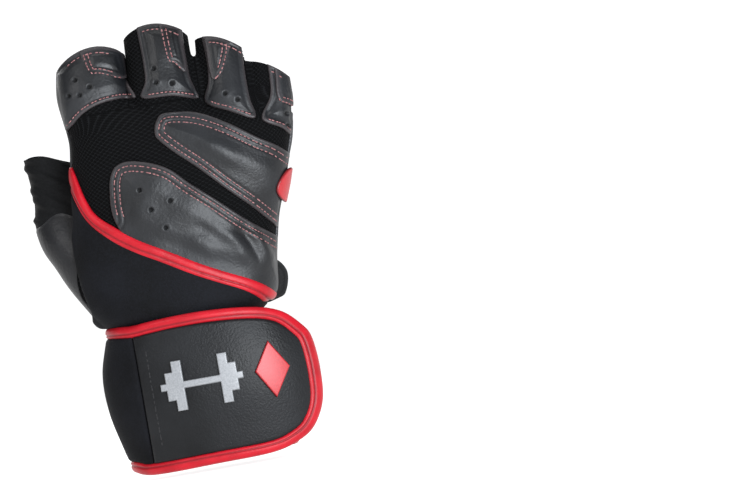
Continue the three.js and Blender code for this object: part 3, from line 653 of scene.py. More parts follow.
def hide(name, dark, light, edge_tone_and_light, roughness, relief, shine_level=0.3, pebbles=850.0):
    """Leather: two tones, a third along its edge, and the depth of its grain. The edge tone comes from the caller:
    slightly lighter on the palm and grip hides, a lighter band that is partly edge colour and partly painted highlight
    on the top hide, black piping on the thumb strip, and painted shade at the foot of each grip pad. Where the pit
    mask marks vent holes and sunk channels, the colour is painted near black as painted shade.
    """
    material, tree, shader = finish_material(name)
    grain = node(tree, "ShaderNodeGroup", (-500, 0), node_tree=grain_group)
    grain.inputs["Pebbles"].default_value = pebbles
    tones = node(tree, "ShaderNodeValToRGB", (-200, 200))
    tones.color_ramp.elements[0].position = 0.35
    tones.color_ramp.elements[1].position = 0.68
    tones.color_ramp.elements[0].color = (*dark, 1)
    tones.color_ramp.elements[1].color = (*light, 1)
    tree.links.new(grain.outputs["Tone"], tones.inputs[0])
    # Edge band within 1.6 mm of the panel's edge, in the caller's edge tone: partly painted highlight on the top hide,
    # painted shade on the grip pads.
    rim = node(tree, "ShaderNodeMix", (200, 200), data_type="RGBA")
    tree.links.new(grain.outputs["Edge"], rim.inputs[0])
    tree.links.new(tones.outputs[0], rim.inputs[6])
    rim.inputs[7].default_value = (*edge_tone_and_light, 1)
    painted_pit_shade = node(tree, "ShaderNodeAttribute", (200, 450), attribute_name="painted_pit_shade")
    # Painted shade: near black where the pit mask marks vent holes and sunk channels, standing for the shade inside
    # them.
    sunk = node(tree, "ShaderNodeMix", (450, 200), data_type="RGBA")
    tree.links.new(painted_pit_shade.outputs["Fac"], sunk.inputs[0])
    tree.links.new(rim.outputs[2], sunk.inputs[6])
    sunk.inputs[7].default_value = (0.0012, 0.0012, 0.0014, 1)
    tree.links.new(sunk.outputs[2], shader.inputs["Base Color"])
    shine = node(tree, "ShaderNodeMapRange", (200, -50))
    tree.links.new(grain.outputs["Tone"], shine.inputs["Value"])
    shine.inputs["From Min"].default_value = 0.3
    shine.inputs["From Max"].default_value = 0.7
    shine.inputs["To Min"].default_value = roughness - 0.05
    shine.inputs["To Max"].default_value = roughness + 0.07
    dull = maths(tree, "MULTIPLY", painted_pit_shade.outputs["Fac"], 0.45, (350, 400))
    tree.links.new(maths(tree, "ADD", shine.outputs[0], dull, (450, -50), clamp=True), shader.inputs["Roughness"])
    bump = node(tree, "ShaderNodeBump", (300, -250), Strength=relief, Distance=0.0003)
    tree.links.new(grain.outputs["Height"], bump.inputs["Height"])
    tree.links.new(bump.outputs[0], shader.inputs["Normal"])
    shader.inputs["Specular IOR Level"].default_value = shine_level
    return material


palm_hide = hide("black_palm_hide", (0.006, 0.006, 0.007), (0.015, 0.0152, 0.017), (0.02, 0.02, 0.022), 0.42, 0.5, 0.3)
palm_data, palm_faces = clip(hand_skin, hand_faces, hand_skin[:, 1] - middle_y(hand_skin[:, 2]))
palm_data, palm_faces = largest_parts(palm_data, palm_faces)
top = palm_data[:, :3]
bottom = top - unit(palm_data[:, 3:6]) * BASE_WALL
points, faces = walled(top, bottom, palm_faces)
rim = hem_height(points) - points[:, 2]
palm_base = finish_piece(
    "palm_hide", points, faces, palm_hide, ["palm_leather"], edge=rim
)
cloth_sheet(palm_data, palm_faces, 150)


# Leather tops of the four stalls: padded and punched with a few vents, sewn over the mesh
# along their lower edge and turned in at the hem.
FINGER_TOPS = {
    "index": [
        (-43.4, 156), (-39.4, 157), (-32.5, 162), (-24.4, 164.9), (-15.2, 165.7),
        (-8.2, 165.2), (-10.8, 172.4), (-11.6, 180), (-12, 200), (-30, 206), (-43.6, 200),
        (-43.8, 176),
    ],
    "middle": [
        (-5.3, 164.1), (7.8, 162.8), (19.3, 160.0), (16.9, 168.4), (16.4, 180), (16, 205),
        (7, 210), (-2, 205), (-2.2, 180), (-2.8, 171),
    ],
    "ring": [
        (22.4, 157.2), (31.9, 151.7), (42.8, 146.5), (41.8, 155.1), (41.5, 165), (41.5, 200),
        (33, 206), (26, 200), (26, 175), (25, 165.5),
    ],
    "little": [
        (45.7, 145.8), (53.8, 140.2), (58, 135.6), (66, 131), (68, 150), (66, 186),
        (53, 188), (52.3, 165.5), (51, 155.2),
    ],
}
LOWER_ROWS = {"index": 6, "middle": 3, "ring": 3, "little": 4}
VENTS = {
    "index": [(-33.4, 176.8), (-27.9, 172.7), (-36.9, 170.5), (-32.5, 169.8)],
    "middle": [(2, 176), (2, 169.5), (8.7, 168)],
    "ring": [(31.6, 159.2), (36.5, 155.8)],
    "little": [(55.9, 146.3), (56, 141)],
}
BACK, PALM = -1, 1


def rounded(depth, radius):
    """Rise of a rounded edge, from 0 at the edge to 1 at its radius."""
    t = np.clip(depth / radius, 0, 1)
    return np.sqrt(np.clip(1 - (1 - t) ** 2, 0, 1))


def eased(value, start, stop):
    t = np.clip((value - start) / (stop - start), 0, 1)
    return t * t * (3 - 2 * t)


def edge_depth(places, outline, side, hem=None):
    """How far a place on the skin is inside a panel's edge, in mm."""
    depth = inside_distance(places[:, [0, 2]], outline)
    depth = np.minimum(depth, side * (places[:, 1] - middle_y(places[:, 2])) - 0.2)
    if hem is not None:
        depth = np.minimum(depth, hem_height(places) - places[:, 2] - hem)
    return depth


def panel(
    name, source, outline, side, material, nodes, rise=1.4, lift=0.1, radius=1.3,
    grooves=(), groove=0.4, puff=0.0, puff_from=2.0, puff_to=8.0, vents=(), hem=None,
    padded=None, depth_of=None, extra=None, pit_shade_of=None,
):
    """A panel sewn on the skin: cut to its outline, with a rounded edge, sunk seams and a crown."""
    measure = depth_of or (lambda places: edge_depth(places, outline, side, hem))
    data, faces = source
    near = measure(data)
    used = near[faces].max(1) > -1.5
    ids, faces = np.unique(faces[used], return_inverse=True)
    data, faces = clip(data[ids], faces.reshape(-1, 3), near[ids])
    data, faces = largest_parts(data, faces)
    data, faces = finer(data, faces)
    depth = np.maximum(measure(data), 0)
    height = rise * (0.35 + 0.65 * rounded(depth, radius))
    for line in grooves:
        height = height - groove * np.exp(-(((depth - line) / 0.75) ** 2))
    height = height + puff * eased(depth, puff_from, puff_to)
    painted_pit_shade = np.zeros(len(data)) if pit_shade_of is None else pit_shade_of(data)
    # Vents: shallow dimples, painted near black through the pit mask as painted shade for the open hole.
    for x, z in vents:
        away = np.hypot(data[:, 0] - x, data[:, 2] - z)
        height = height - 1.3 * (1 - eased(away, 0.45, 1.15)) + 0.1 * np.exp(-(((away - 1.7) / 0.5) ** 2))
        painted_pit_shade = np.maximum(painted_pit_shade, 1 - eased(away, 0.55, 1.05))
    if extra is not None:
        height = height + extra(data, depth)
    out = unit(data[:, 3:6])
    top = data[:, :3] + out * (lift + height)[:, None]
    bottom = data[:, :3] + out * (lift * 0.3)
    points, all_faces = walled(top, bottom, faces)
    obj = finish_piece(
        name, points, all_faces, material, nodes,
        edge=np.concatenate([depth, depth]), uv=cloth_map(points), painted_pit_shade=np.concatenate([painted_pit_shade, painted_pit_shade]),
    )
    if padded is None:
        cloth_sheet(data, faces, max(np.ptp(data[:, 2]), 11))
    return top, faces


# Seams: dark red thread in rows of short stitches, each a low rounded bar sunk in the leather
STITCH_LENGTH = 1.35
STITCH_PITCH = 1.9
STITCH_RADIUS = 0.3


def stitch_shape():
    """One stitch along X as points and faces, in mm."""
    rings = [(-0.5, 0.35), (-0.32, 0.9), (0.0, 1.0), (0.32, 0.9), (0.5, 0.35)]
    points = []
    for along, thick in rings:
        for k in range(5):
            a = 2 * math.pi * k / 5 + 0.3
            points.append(
                (along * STITCH_LENGTH, thick * STITCH_RADIUS * math.cos(a), thick * STITCH_RADIUS * math.sin(a))
            )
    faces = []
    for ring in range(len(rings) - 1):
        for k in range(5):
            a, b = ring * 5 + k, ring * 5 + (k + 1) % 5
            faces += [(a, a + 5, b + 5), (a, b + 5, b)]
    for k in range(1, 4):
        faces.append((0, k, k + 1))
        faces.append((20, 20 + k + 1, 20 + k))
    return np.array(points), np.array(faces)


STITCH_POINTS, STITCH_FACES = stitch_shape()


def sew(rows, surface, side, pitch=STITCH_PITCH, sink=0.05):
    """Stitches along lines seen from the back or the palm, laid on a surface."""
    points, faces = surface
    tree = BVHTree.FromPolygons(points.tolist(), faces.tolist())
    made = []
    for line in rows:
        chain = []
        for (x1, z1), (x2, z2) in zip(line[:-1], line[1:]):
            steps = max(1, int(math.hypot(x2 - x1, z2 - z1) / 0.6))
            for k in range(steps):
                t = k / steps
                start = Vector((x1 + (x2 - x1) * t, side * 200.0, z1 + (z2 - z1) * t))
                hit, normal, _, _ = tree.ray_cast(start, Vector((0, -side, 0)))
                chain.append((hit, normal) if hit is not None and abs(normal.y) > 0.12 else None)
        walked = 0.0
        last = None
        for item in chain:
            if item is None:
                last = None
                continue
            if last is not None:
                step = (item[0] - last[0]).length
                if step > 3:
                    last = item
                    continue
                walked += step
                if walked >= pitch:
                    walked -= pitch
                    along = (item[0] - last[0]).normalized()
                    out = (item[1] - along * item[1].dot(along)).normalized()
                    turn = np.array([along, out.cross(along), out])
                    made.append(STITCH_POINTS @ turn + np.array(item[0] - out * sink))
            last = item
    return made


def thread_object(name, stitches, material):
    """All the stitches of one group as one mesh."""
    count = len(stitches)
    points = np.vstack(stitches)
    steps = np.repeat(np.arange(count) * len(STITCH_POINTS), len(STITCH_FACES))[:, None]
    faces = np.tile(STITCH_FACES, (count, 1)) + steps
    return finish_piece(name, points, faces, material, [])


def cloth_finish(name, dark, light, roughness, scale, relief, sheen, shine_level=0.3):
    """Plain cloth or thread: fine fibres, two tones and a soft sheen."""
    material, tree, shader = finish_material(name)
    spot = node(tree, "ShaderNodeTexCoord", (-900, 0))
    fibre = node(tree, "ShaderNodeTexNoise", (-600, 100), Scale=scale, Detail=4.0, Roughness=0.65)
    tree.links.new(spot.outputs["Object"], fibre.inputs["Vector"])
    tones = node(tree, "ShaderNodeValToRGB", (-300, 150))
    tones.color_ramp.elements[0].position = 0.3
    tones.color_ramp.elements[1].position = 0.7
    tones.color_ramp.elements[0].color = (*dark, 1)
    tones.color_ramp.elements[1].color = (*light, 1)
    tree.links.new(fibre.outputs[0], tones.inputs[0])
    tree.links.new(tones.outputs[0], shader.inputs["Base Color"])
    bump = node(tree, "ShaderNodeBump", (200, -200), Strength=relief, Distance=0.0003)
    tree.links.new(fibre.outputs[0], bump.inputs["Height"])
    tree.links.new(bump.outputs[0], shader.inputs["Normal"])
    shader.inputs["Roughness"].default_value = roughness
    shader.inputs["Specular IOR Level"].default_value = shine_level
    shader.inputs["Sheen Weight"].default_value = sheen
    return material


def inset_line(outline, distance):
    """A line that runs inside a closed outline at one distance from it."""
    before = np.roll(outline, 1, 0)
    after = np.roll(outline, -1, 0)
    along = unit(after - before)
    area = np.sum(outline[:, 0] * after[:, 1] - after[:, 0] * outline[:, 1])
    inward = np.stack([-along[:, 1], along[:, 0]], 1) * (1 if area > 0 else -1)
    line = outline + inward * distance
    good = inside_distance(line, outline) > distance * 0.9
    line = line[good]
    return np.vstack([line, line[:1]])


def along_edge(outline, edge, distance):
    """The part of an inset line that follows one edge of the outline."""
    line = inset_line(outline, distance)[:-1]
    away = line_distance(line, edge, False)
    line = np.roll(line, -away.argmax(), 0)
    return line[line_distance(line, edge, False) < distance + 0.7]


def hem_line(finger, below, inset):
    """A line round a stall at one distance below its hem."""
    z, x, wide, y, deep, slope = STALL_ROWS[finger][-1]
    dx = np.linspace(-wide + inset, wide - inset, 24)
    front = y - deep * np.sqrt(np.clip(1 - (dx / (wide + 1)) ** 2, 0, 1))
    height = z + HEM_RISE + slope * dx + HEM_TILT * (front - y) - HEM_ARCH * dx**2
    return np.stack([x + dx, height - below], 1)


# Top hide's edge tone: a lighter reddish band along each panel edge, partly edge colour and partly painted highlight.
top_hide = hide("black_top_hide", (0.004, 0.0043, 0.0052), (0.0115, 0.0125, 0.0148), (0.036, 0.03, 0.032), 0.43, 0.3, 0.36)
thread = cloth_finish("dark_red_thread", (0.11, 0.03, 0.032), (0.4, 0.19, 0.19), 0.6, 900.0, 0.4, 0.0)
hand_source = (hand_skin, hand_faces)
stitches = []
for finger, rows in FINGER_TOPS.items():
    outline = smooth_line(rows, True, 6)
    surface = panel(
        f"finger_top_{finger}_hide", hand_source, outline, BACK, top_hide,
        [f"finger_top_{finger}"], rise=1.3, grooves=(2.2,), groove=0.3, puff=0.9,
        puff_from=2.4, puff_to=7.0, vents=VENTS[finger], hem=0.0,
    )
    lower = along_edge(outline, smooth_line(rows[: LOWER_ROWS[finger]], False, 6), 2.0)
    stitches += sew([lower, hem_line(finger, 2.6, 2.5)], surface, BACK)


# Second leather layer at each hem: a smaller piece with a curved edge, sewn down by two rows
PATCHES = {
    "index": [(-30.5, 206), (-29.6, 189), (-27.3, 179.3), (-22.1, 177.6), (-12.9, 174.6), (-12.5, 186), (-12.9, 206)],
    "middle": [(7.8, 210), (7.8, 181.6), (11.2, 176.5), (15.0, 172.6), (15.2, 188), (14.8, 210)],
    "ring": [(37.2, 206), (37, 183.4), (35.4, 175.9), (31.9, 169), (27.3, 167), (27.0, 182), (27.4, 206)],
    "little": [(53.8, 153.8), (58, 150), (67, 147), (67, 186), (54.9, 186), (54.6, 166)],
}
PATCH_ROWS = {"index": 5, "middle": 4, "ring": 5, "little": 3}
PATCH_LIFT = 1.6
for finger, rows in PATCHES.items():
    outline = smooth_line(rows, True, 6)
    surface = panel(
        f"finger_patch_{finger}_hide", hand_source, outline, BACK, top_hide,
        [f"finger_patch_{finger}"], rise=0.9, lift=PATCH_LIFT, radius=0.9,
        grooves=(1.1, 3.0), groove=0.25, puff=0.3, puff_from=2.0, puff_to=5.0, hem=1.3,
    )
    edge = smooth_line(rows[: PATCH_ROWS[finger]], False, 6)
    seams = [along_edge(outline, edge, distance) for distance in (1.1, 3.0)]
    stitches += sew(seams + [hem_line(finger, 2.8, 3.0)], surface, BACK)
thread_object("finger_seams", stitches, thread)


# The two tongues over the knuckles: long padded leather panels with vents, each sewn down
# by two rows of stitches round its edge.
UPPER_TONGUE = [
    (-2.4, 147.1), (-1.4, 151.7), (2, 155.2), (8.9, 155.2), (19.3, 152.3), (30.8, 146),
    (42.3, 137.9), (50.3, 132.8), (57, 126.5), (64, 119), (60, 98), (46, 94),
    (42.3, 98.8), (34.2, 108), (25, 117.2), (13.5, 129.3), (5.5, 136.8), (-0.9, 143.7),
]
LOWER_TONGUE = [
    (-26.6, 112), (-26.4, 126.4), (-23.9, 134), (-19.8, 136.8), (-14, 136.8), (-4.9, 134),
    (2, 130), (9, 123), (19.3, 113.8), (30.8, 102.9), (40, 95.4), (45, 91), (54, 84),
    (52, 66), (36, 64), (23, 72.5), (4.3, 83.5), (-18.7, 97),
]
BINDING_LINE = [
    (-43.5, 138.5), (-40, 123), (-36, 113.8), (-27.9, 105.7), (-18.7, 98.8), (-7.2, 92),
    (4.3, 85), (15.8, 78.7), (25, 74), (32, 69.5), (37.5, 64.5),
]
BINDING_WIDTH = 6.4
PANEL_START = 66.0
binding_line = smooth_line(BINDING_LINE, False, 8)
stitches = []
outline = smooth_line(UPPER_TONGUE, True, 8)
surface = panel(
    "upper_tongue", hand_source, outline, BACK, top_hide, ["knuckle_panel_upper"],
    rise=1.5, grooves=(2.0, 4.4), groove=0.4, puff=1.1, puff_from=4.8, puff_to=12, padded=0.5,
)
stitches += sew([inset_line(outline, 2.0), inset_line(outline, 4.4)], surface, BACK)
outline = smooth_line(LOWER_TONGUE, True, 8)
free_edge = smooth_line(LOWER_TONGUE[:13], False, 8)


def lower_tongue_depth(places):
    depth = edge_depth(places, outline, BACK)
    flat = places[:, [0, 2]]
    below = line_distance(flat, binding_line, False)
    return np.minimum(np.minimum(depth, below - 1.2), places[:, 2] - PANEL_START)


def free_grooves(places, depth):
    """Sunk seams of the free edge alone: its two rows of stitches."""
    away = line_distance(places[:, [0, 2]], free_edge, False)
    return -0.38 * sum(np.exp(-(((away - distance) / 0.75) ** 2)) for distance in (2.0, 4.4))


surface = panel(
    "lower_tongue", hand_source, outline, BACK, top_hide, ["knuckle_panel_lower"],
    rise=1.5, puff=0.9, puff_from=4.8, puff_to=12, extra=free_grooves,
    vents=[(-13, 123.5), (-9.5, 114), (-0.5, 116.5), (-4.5, 105)], padded=0.5,
    depth_of=lower_tongue_depth,
)
rows = []
for distance in (2.0, 4.4):
    line = along_edge(outline, free_edge, distance)
    rows.append(line[line[:, 0] < 44])
stitches += sew(rows, surface, BACK)
thread_object("tongue_seams", stitches, thread)


# Diagonal binding: red satin tape folded over the edge of the neoprene and sewn down along
# its middle.
def satin(name):
    """Red tape: fine ribs across it, a dark sewn line and a satin sheen. The sewn line's darker red is partly its
    stitching and partly painted shade in the sunk groove.
    """
    material, tree, shader = finish_material(name)
    cloth = node(tree, "ShaderNodeTexCoord", (-1000, 0))
    ribs = node(tree, "ShaderNodeTexNoise", (-700, 200), Scale=2200.0, Detail=3.0)
    tree.links.new(cloth.outputs["Object"], ribs.inputs["Vector"])
    slow = node(tree, "ShaderNodeTexNoise", (-700, -50), Scale=90.0, Detail=3.0)
    tree.links.new(cloth.outputs["Object"], slow.inputs["Vector"])
    tones = node(tree, "ShaderNodeValToRGB", (-400, 0))
    tones.color_ramp.elements[0].position = 0.3
    tones.color_ramp.elements[1].position = 0.7
    tones.color_ramp.elements[0].color = (0.31, 0.003, 0.009, 1)
    tones.color_ramp.elements[1].color = (0.46, 0.006, 0.016, 1)
    tree.links.new(slow.outputs[0], tones.inputs[0])
    # Sewn line darkened through the edge attribute: partly the stitching, partly painted shade in the groove.
    seam = node(tree, "ShaderNodeAttribute", (-400, -300), attribute_name="edge")
    dark = node(tree, "ShaderNodeMix", (0, 100), data_type="RGBA")
    tree.links.new(seam.outputs["Fac"], dark.inputs[0])
    tree.links.new(tones.outputs[0], dark.inputs[6])
    dark.inputs[7].default_value = (0.13, 0.003, 0.007, 1)
    tree.links.new(dark.outputs[2], shader.inputs["Base Color"])
    bump = node(tree, "ShaderNodeBump", (300, -200), Strength=0.35, Distance=0.0002)
    tree.links.new(ribs.outputs[0], bump.inputs["Height"])
    tree.links.new(bump.outputs[0], shader.inputs["Normal"])
    shader.inputs["Roughness"].default_value = 0.42
    shader.inputs["Specular IOR Level"].default_value = 0.25
    return material


red_satin = satin("red_satin_tape")
TAPE_RISE = 2.2


def tape(name, source, depth_of, seam_of, rise, lift, nodes, length):
    """Binding tape: crowned across its width, with a sewn line sunk where seam_of is zero."""
    data, faces = source
    near = depth_of(data)
    used = near[faces].max(1) > -1.5
    ids, faces = np.unique(faces[used], return_inverse=True)
    data, faces = clip(data[ids], faces.reshape(-1, 3), near[ids])
    data, faces = largest_parts(data, faces)
    data, faces = finer(data, faces)
    depth = np.maximum(depth_of(data), 0)
    seam = np.exp(-((seam_of(data) / 0.42) ** 2))
    height = rise * (0.3 + 0.7 * rounded(depth, 2.4)) - 0.55 * seam
    out = unit(data[:, 3:6])
    top = data[:, :3] + out * (lift + height)[:, None]
    bottom = data[:, :3] + out * (lift * 0.3)
    points, all_faces = walled(top, bottom, faces)
    # dark marks the sewn line for the tape's colour: partly stitching, partly painted shade in the sunk groove.
    dark = 0.85 * seam
    obj = finish_piece(
        name, points, all_faces, red_satin, nodes, edge=np.concatenate([dark, dark])
    )
    cloth_sheet(data, faces, length)
    return top, faces


def diagonal_width(places):
    """Half width of the tape: narrower at its upper end, where it goes under the thumb."""
    return BINDING_WIDTH / 2 * (0.55 + 0.45 * eased(places[:, 0], -44, -26))


def binding_depth(places):
    away = line_distance(places[:, [0, 2]], binding_line, False)
    depth = diagonal_width(places) - away
    depth = np.minimum(depth, middle_y(places[:, 2]) - places[:, 1] - 0.3)
    return np.minimum(depth, places[:, 2] - PANEL_START)


def binding_seam(places):
    """Distance from the sewn line, which runs a little above the tape's lower edge."""
    away = line_distance(places[:, [0, 2]], binding_line - np.array([0.4, 0.7]), False)
    return away


tape("diagonal_tape", hand_source, binding_depth, binding_seam, TAPE_RISE, 0.3, ["back_binding"], 110)


# Gusset at the wrist: neoprene faced with fine knit, between the thumb's leather, the diagonal
# tape and the cuff.
def foam_cloth(name, dark, light, fleck, relief):
    """Neoprene facing: a very fine knit with flecks and slow changes of tone."""
    material, tree, shader = finish_material(name)
    spot = node(tree, "ShaderNodeTexCoord", (-1100, 0))
    knit = node(tree, "ShaderNodeTexVoronoi", (-800, 250), Scale=1700.0)
    tree.links.new(spot.outputs["Object"], knit.inputs["Vector"])
    flecks = node(tree, "ShaderNodeTexNoise", (-800, 0), Scale=1100.0, Detail=3.0, Roughness=0.7)
    tree.links.new(spot.outputs["Object"], flecks.inputs["Vector"])
    slow = node(tree, "ShaderNodeTexNoise", (-800, -250), Scale=45.0, Detail=4.0)
    tree.links.new(spot.outputs["Object"], slow.inputs["Vector"])
    amount = maths(tree, "MULTIPLY", flecks.outputs[0], fleck, (-550, 0))
    tone = maths(tree, "ADD", maths(tree, "MULTIPLY", slow.outputs[0], 1 - fleck, (-550, -200)), amount, (-350, -100))
    tones = node(tree, "ShaderNodeValToRGB", (-150, 100))
    tones.color_ramp.elements[0].position = 0.38
    tones.color_ramp.elements[1].position = 0.64
    tones.color_ramp.elements[0].color = (*dark, 1)
    tones.color_ramp.elements[1].color = (*light, 1)
    tree.links.new(tone, tones.inputs[0])
    tree.links.new(tones.outputs[0], shader.inputs["Base Color"])
    bump = node(tree, "ShaderNodeBump", (300, -200), Strength=relief, Distance=0.0002)
    tree.links.new(knit.outputs["Distance"], bump.inputs["Height"])
    tree.links.new(bump.outputs[0], shader.inputs["Normal"])
    shader.inputs["Roughness"].default_value = 0.8
    shader.inputs["Specular IOR Level"].default_value = 0.14
    return material


GUSSET_OUTLINE = [
    (-39.5, 58), (-43.8, 74), (-46.5, 88.5), (-47.4, 105.7), (-45.5, 112), (-44.4, 119),
    (-43.9, 130), (-43.7, 137), (-40.4, 124), (-36, 113.8), (-27.9, 105.7), (-18.7, 98.8),
    (-7.2, 92), (4.3, 85), (15.8, 78.7), (25, 74), (32, 69.5), (38, 60),
]
CUFF_TOP = 62.6
# The cuff's copy of the neoprene is much lighter and bluer than the gusset's black one: painted light on the cuff.
neoprene = foam_cloth("cuff_neoprene_painted_light", (0.013, 0.0145, 0.021), (0.046, 0.052, 0.076), 0.6, 0.5)
black_neoprene = foam_cloth("black_neoprene", (0.0012, 0.0013, 0.0018), (0.0055, 0.006, 0.0085), 0.45, 0.5)
skin_low, skin_low_faces = clip(skin, form_faces, skin[:, 2] - 50.0)
whole_source = clip(skin_low, skin_low_faces, 145.0 - skin_low[:, 2])
gusset_outline = smooth_line(GUSSET_OUTLINE, True, 6)


def gusset_depth(places):
    flat = places[:, [0, 2]]
    depth = inside_distance(flat, gusset_outline)
    depth = np.minimum(depth, middle_y(places[:, 2]) + 2.0 - places[:, 1])
    above = line_distance(flat, binding_line, False) - 1.6
    return np.minimum(np.minimum(depth, above), places[:, 2] - CUFF_TOP)


gusset_surface = panel(
    "wrist_gusset_neoprene", whole_source, gusset_outline, BACK, black_neoprene,
    ["wrist_gusset"], rise=2.0, radius=1.6, lift=0.1, puff=0.35, puff_from=2, puff_to=9,
    depth_of=gusset_depth,
)


# Mark on the little-finger edge: a raised red rubber chevron, a plain design
CHEVRON_OUTLINE = [
    (43.2, 113), (51, 123.5), (57.5, 123.5), (50.5, 113), (57.5, 102.6), (51, 102.6),
]


def rubber(name, dark, light, roughness):
    """Moulded rubber: nearly smooth, with a faint mottle, and darker at its foot as painted shade where the mark meets
    the panel.
    """
    material, tree, shader = finish_material(name)
    spot = node(tree, "ShaderNodeTexCoord", (-900, 0))
    mottle = node(tree, "ShaderNodeTexNoise", (-650, 100), Scale=1500.0, Detail=3.0)
    tree.links.new(spot.outputs["Object"], mottle.inputs["Vector"])
    tones = node(tree, "ShaderNodeValToRGB", (-400, 150))
    tones.color_ramp.elements[0].position = 0.35
    tones.color_ramp.elements[1].position = 0.65
    tones.color_ramp.elements[0].color = (*dark, 1)
    tones.color_ramp.elements[1].color = (*light, 1)
    tree.links.new(mottle.outputs[0], tones.inputs[0])
    # Painted shade: darker at the foot and sides of the raised mark, where it meets the panel.
    foot = node(tree, "ShaderNodeAttribute", (-400, -150), attribute_name="edge")
    low = maths(tree, "SUBTRACT", 1.0, maths(tree, "MULTIPLY", foot.outputs["Fac"], 2.2, (-200, -150)), (0, -150), clamp=True)
    shade = node(tree, "ShaderNodeMix", (150, 100), data_type="RGBA")
    tree.links.new(low, shade.inputs[0])
    tree.links.new(tones.outputs[0], shade.inputs[6])
    shade.inputs[7].default_value = (*(0.35 * value for value in dark), 1)
    tree.links.new(shade.outputs[2], shader.inputs["Base Color"])
    bump = node(tree, "ShaderNodeBump", (300, -250), Strength=0.15, Distance=0.0002)
    tree.links.new(mottle.outputs[0], bump.inputs["Height"])
    tree.links.new(bump.outputs[0], shader.inputs["Normal"])
    shader.inputs["Roughness"].default_value = roughness
    return material


def raised_mark(name, source, outline, side, lift, rise, material, nodes, depth_of=None):
    """Moulded mark with a bevelled edge, glued on a panel."""
    data, faces = source
    measure = depth_of or (lambda places: edge_depth(places, outline, side))
    near = measure(data)
    used = near[faces].max(1) > -1.5
    ids, faces = np.unique(faces[used], return_inverse=True)
    data, faces = finer(data[ids], faces.reshape(-1, 3))
    data, faces = finer(data, faces)
    data, faces = clip(data, faces, measure(data))
    data, faces = largest_parts(data, faces)
    depth = np.maximum(measure(data), 0)
    out = unit(data[:, 3:6])
    height = rise * (0.45 + 0.55 * rounded(depth, 0.6))
    top = data[:, :3] + out * (lift + height)[:, None]
    bottom = data[:, :3] + out * lift
    points, all_faces = walled(top, bottom, faces)
    return finish_piece(
        name, points, all_faces, material, nodes, edge=np.concatenate([depth, 0 * depth])
    )


red_rubber = rubber("red_rubber", (0.33, 0.005, 0.01), (0.4, 0.008, 0.014), 0.42)
raised_mark(
    "edge_chevron_rubber", hand_source, cut_corners(CHEVRON_OUTLINE), BACK, 2.6, 1.2,
    red_rubber, ["edge_chevron"],
)


# Thumb stall: black hide on the palm's side and round the root, black stretch mesh over its
# upper back, where the thumb bends; both end in a turned hem.
STRETCH_START = 117.5
thumb_middle_z = np.array([row[0] for row in THUMB_ROWS])
thumb_middle_y = np.array([row[3] for row in THUMB_ROWS])


def stretch_depth(places):
    """Inside the stretch fabric: the side away from the palm, above a slanting seam."""
    front = np.interp(places[:, 2], thumb_middle_z, thumb_middle_y) - places[:, 1]
    seam = STRETCH_START + 2.5 * np.cos((places[:, 0] + 52) * 0.25)
    return np.minimum(front + 1.0, places[:, 2] - seam)


def thumb_cloth_map(points):
    x, wide, y, deep = section_at(THUMB_ROWS, points[:, 2])
    around = np.arctan2((points[:, 1] - y) / deep, (points[:, 0] - x) / wide) * 15
    return np.stack([around, points[:, 2]], 1)


def wall_piece(name, source, keep, wall, material, nodes, uv_of, length, lift=None):
    """A piece of the hollow stall itself, cut from the skin and thickened inwards."""
    data, faces = clip(*source, keep(source[0]))
    data, faces = largest_parts(data, faces)
    top = data[:, :3] + (0 if lift is None else unit(data[:, 3:6]) * lift(data)[:, None])
    bottom = data[:, :3] - unit(data[:, 3:6]) * wall
    points, all_faces = walled(top, bottom, faces)
    edge = np.maximum(np.tile(keep(data), 2), 0)
    obj = finish_piece(name, points, all_faces, material, nodes, edge=edge, uv=uv_of(points))
    cloth_sheet(data, faces, length)
    return top, faces


def thumb_folds(places):
    """Creases of the slack stretch fabric, slanting down from the hem."""
    x, y, z = places[:, 0], places[:, 1], places[:, 2]
    run = 0.45 * (x + 52) + 0.6 * (z - 130)
    waves = np.sin(run * 0.95 + 0.6 * np.sin(z * 0.22)) + 0.5 * np.sin(run * 1.9 + z * 0.15 + 1.0)
    roll = 0.7 * np.exp(-(((places[:, 2] - 143.5 + 0.25 * (x + 52)) / 1.6) ** 2))
    return (0.6 * waves + roll) * eased(stretch_depth(places), 0.5, 4.0)


thumb_source = (thumb_skin, thumb_faces)
soft_cloth = cloth_finish("black_knit", (0.0022, 0.0022, 0.0026), (0.0075, 0.0078, 0.0085), 0.72, 1400.0, 0.5, 0.0, 0.12)
wall_piece(
    "thumb_stretch_cloth", thumb_source, stretch_depth, 1.4, soft_cloth,
    ["thumb_stretch"], thumb_cloth_map, 28, thumb_folds,
)
thumb_surface = wall_piece(
    "thumb_hide", thumb_source, lambda places: -stretch_depth(places), BASE_WALL, palm_hide,
    ["thumb_leather"], thumb_cloth_map, 80,
    lambda places: 0.35 * eased(-stretch_depth(places), 0.2, 1.5),
)


# Strip along the thumb: smooth shiny leather with black piping on both sides. Its light grey colour is a painted
# highlight for the glare on it.
STRIP_LINE = [
    (-26, 66), (-28, 71.3), (-37, 82), (-44.5, 93.3), (-50, 105.2), (-52.5, 117.9),
    (-53.5, 131), (-54, 150),
]
STRIP_WIDTH = 7.0
strip_line = smooth_line(STRIP_LINE, False, 8)
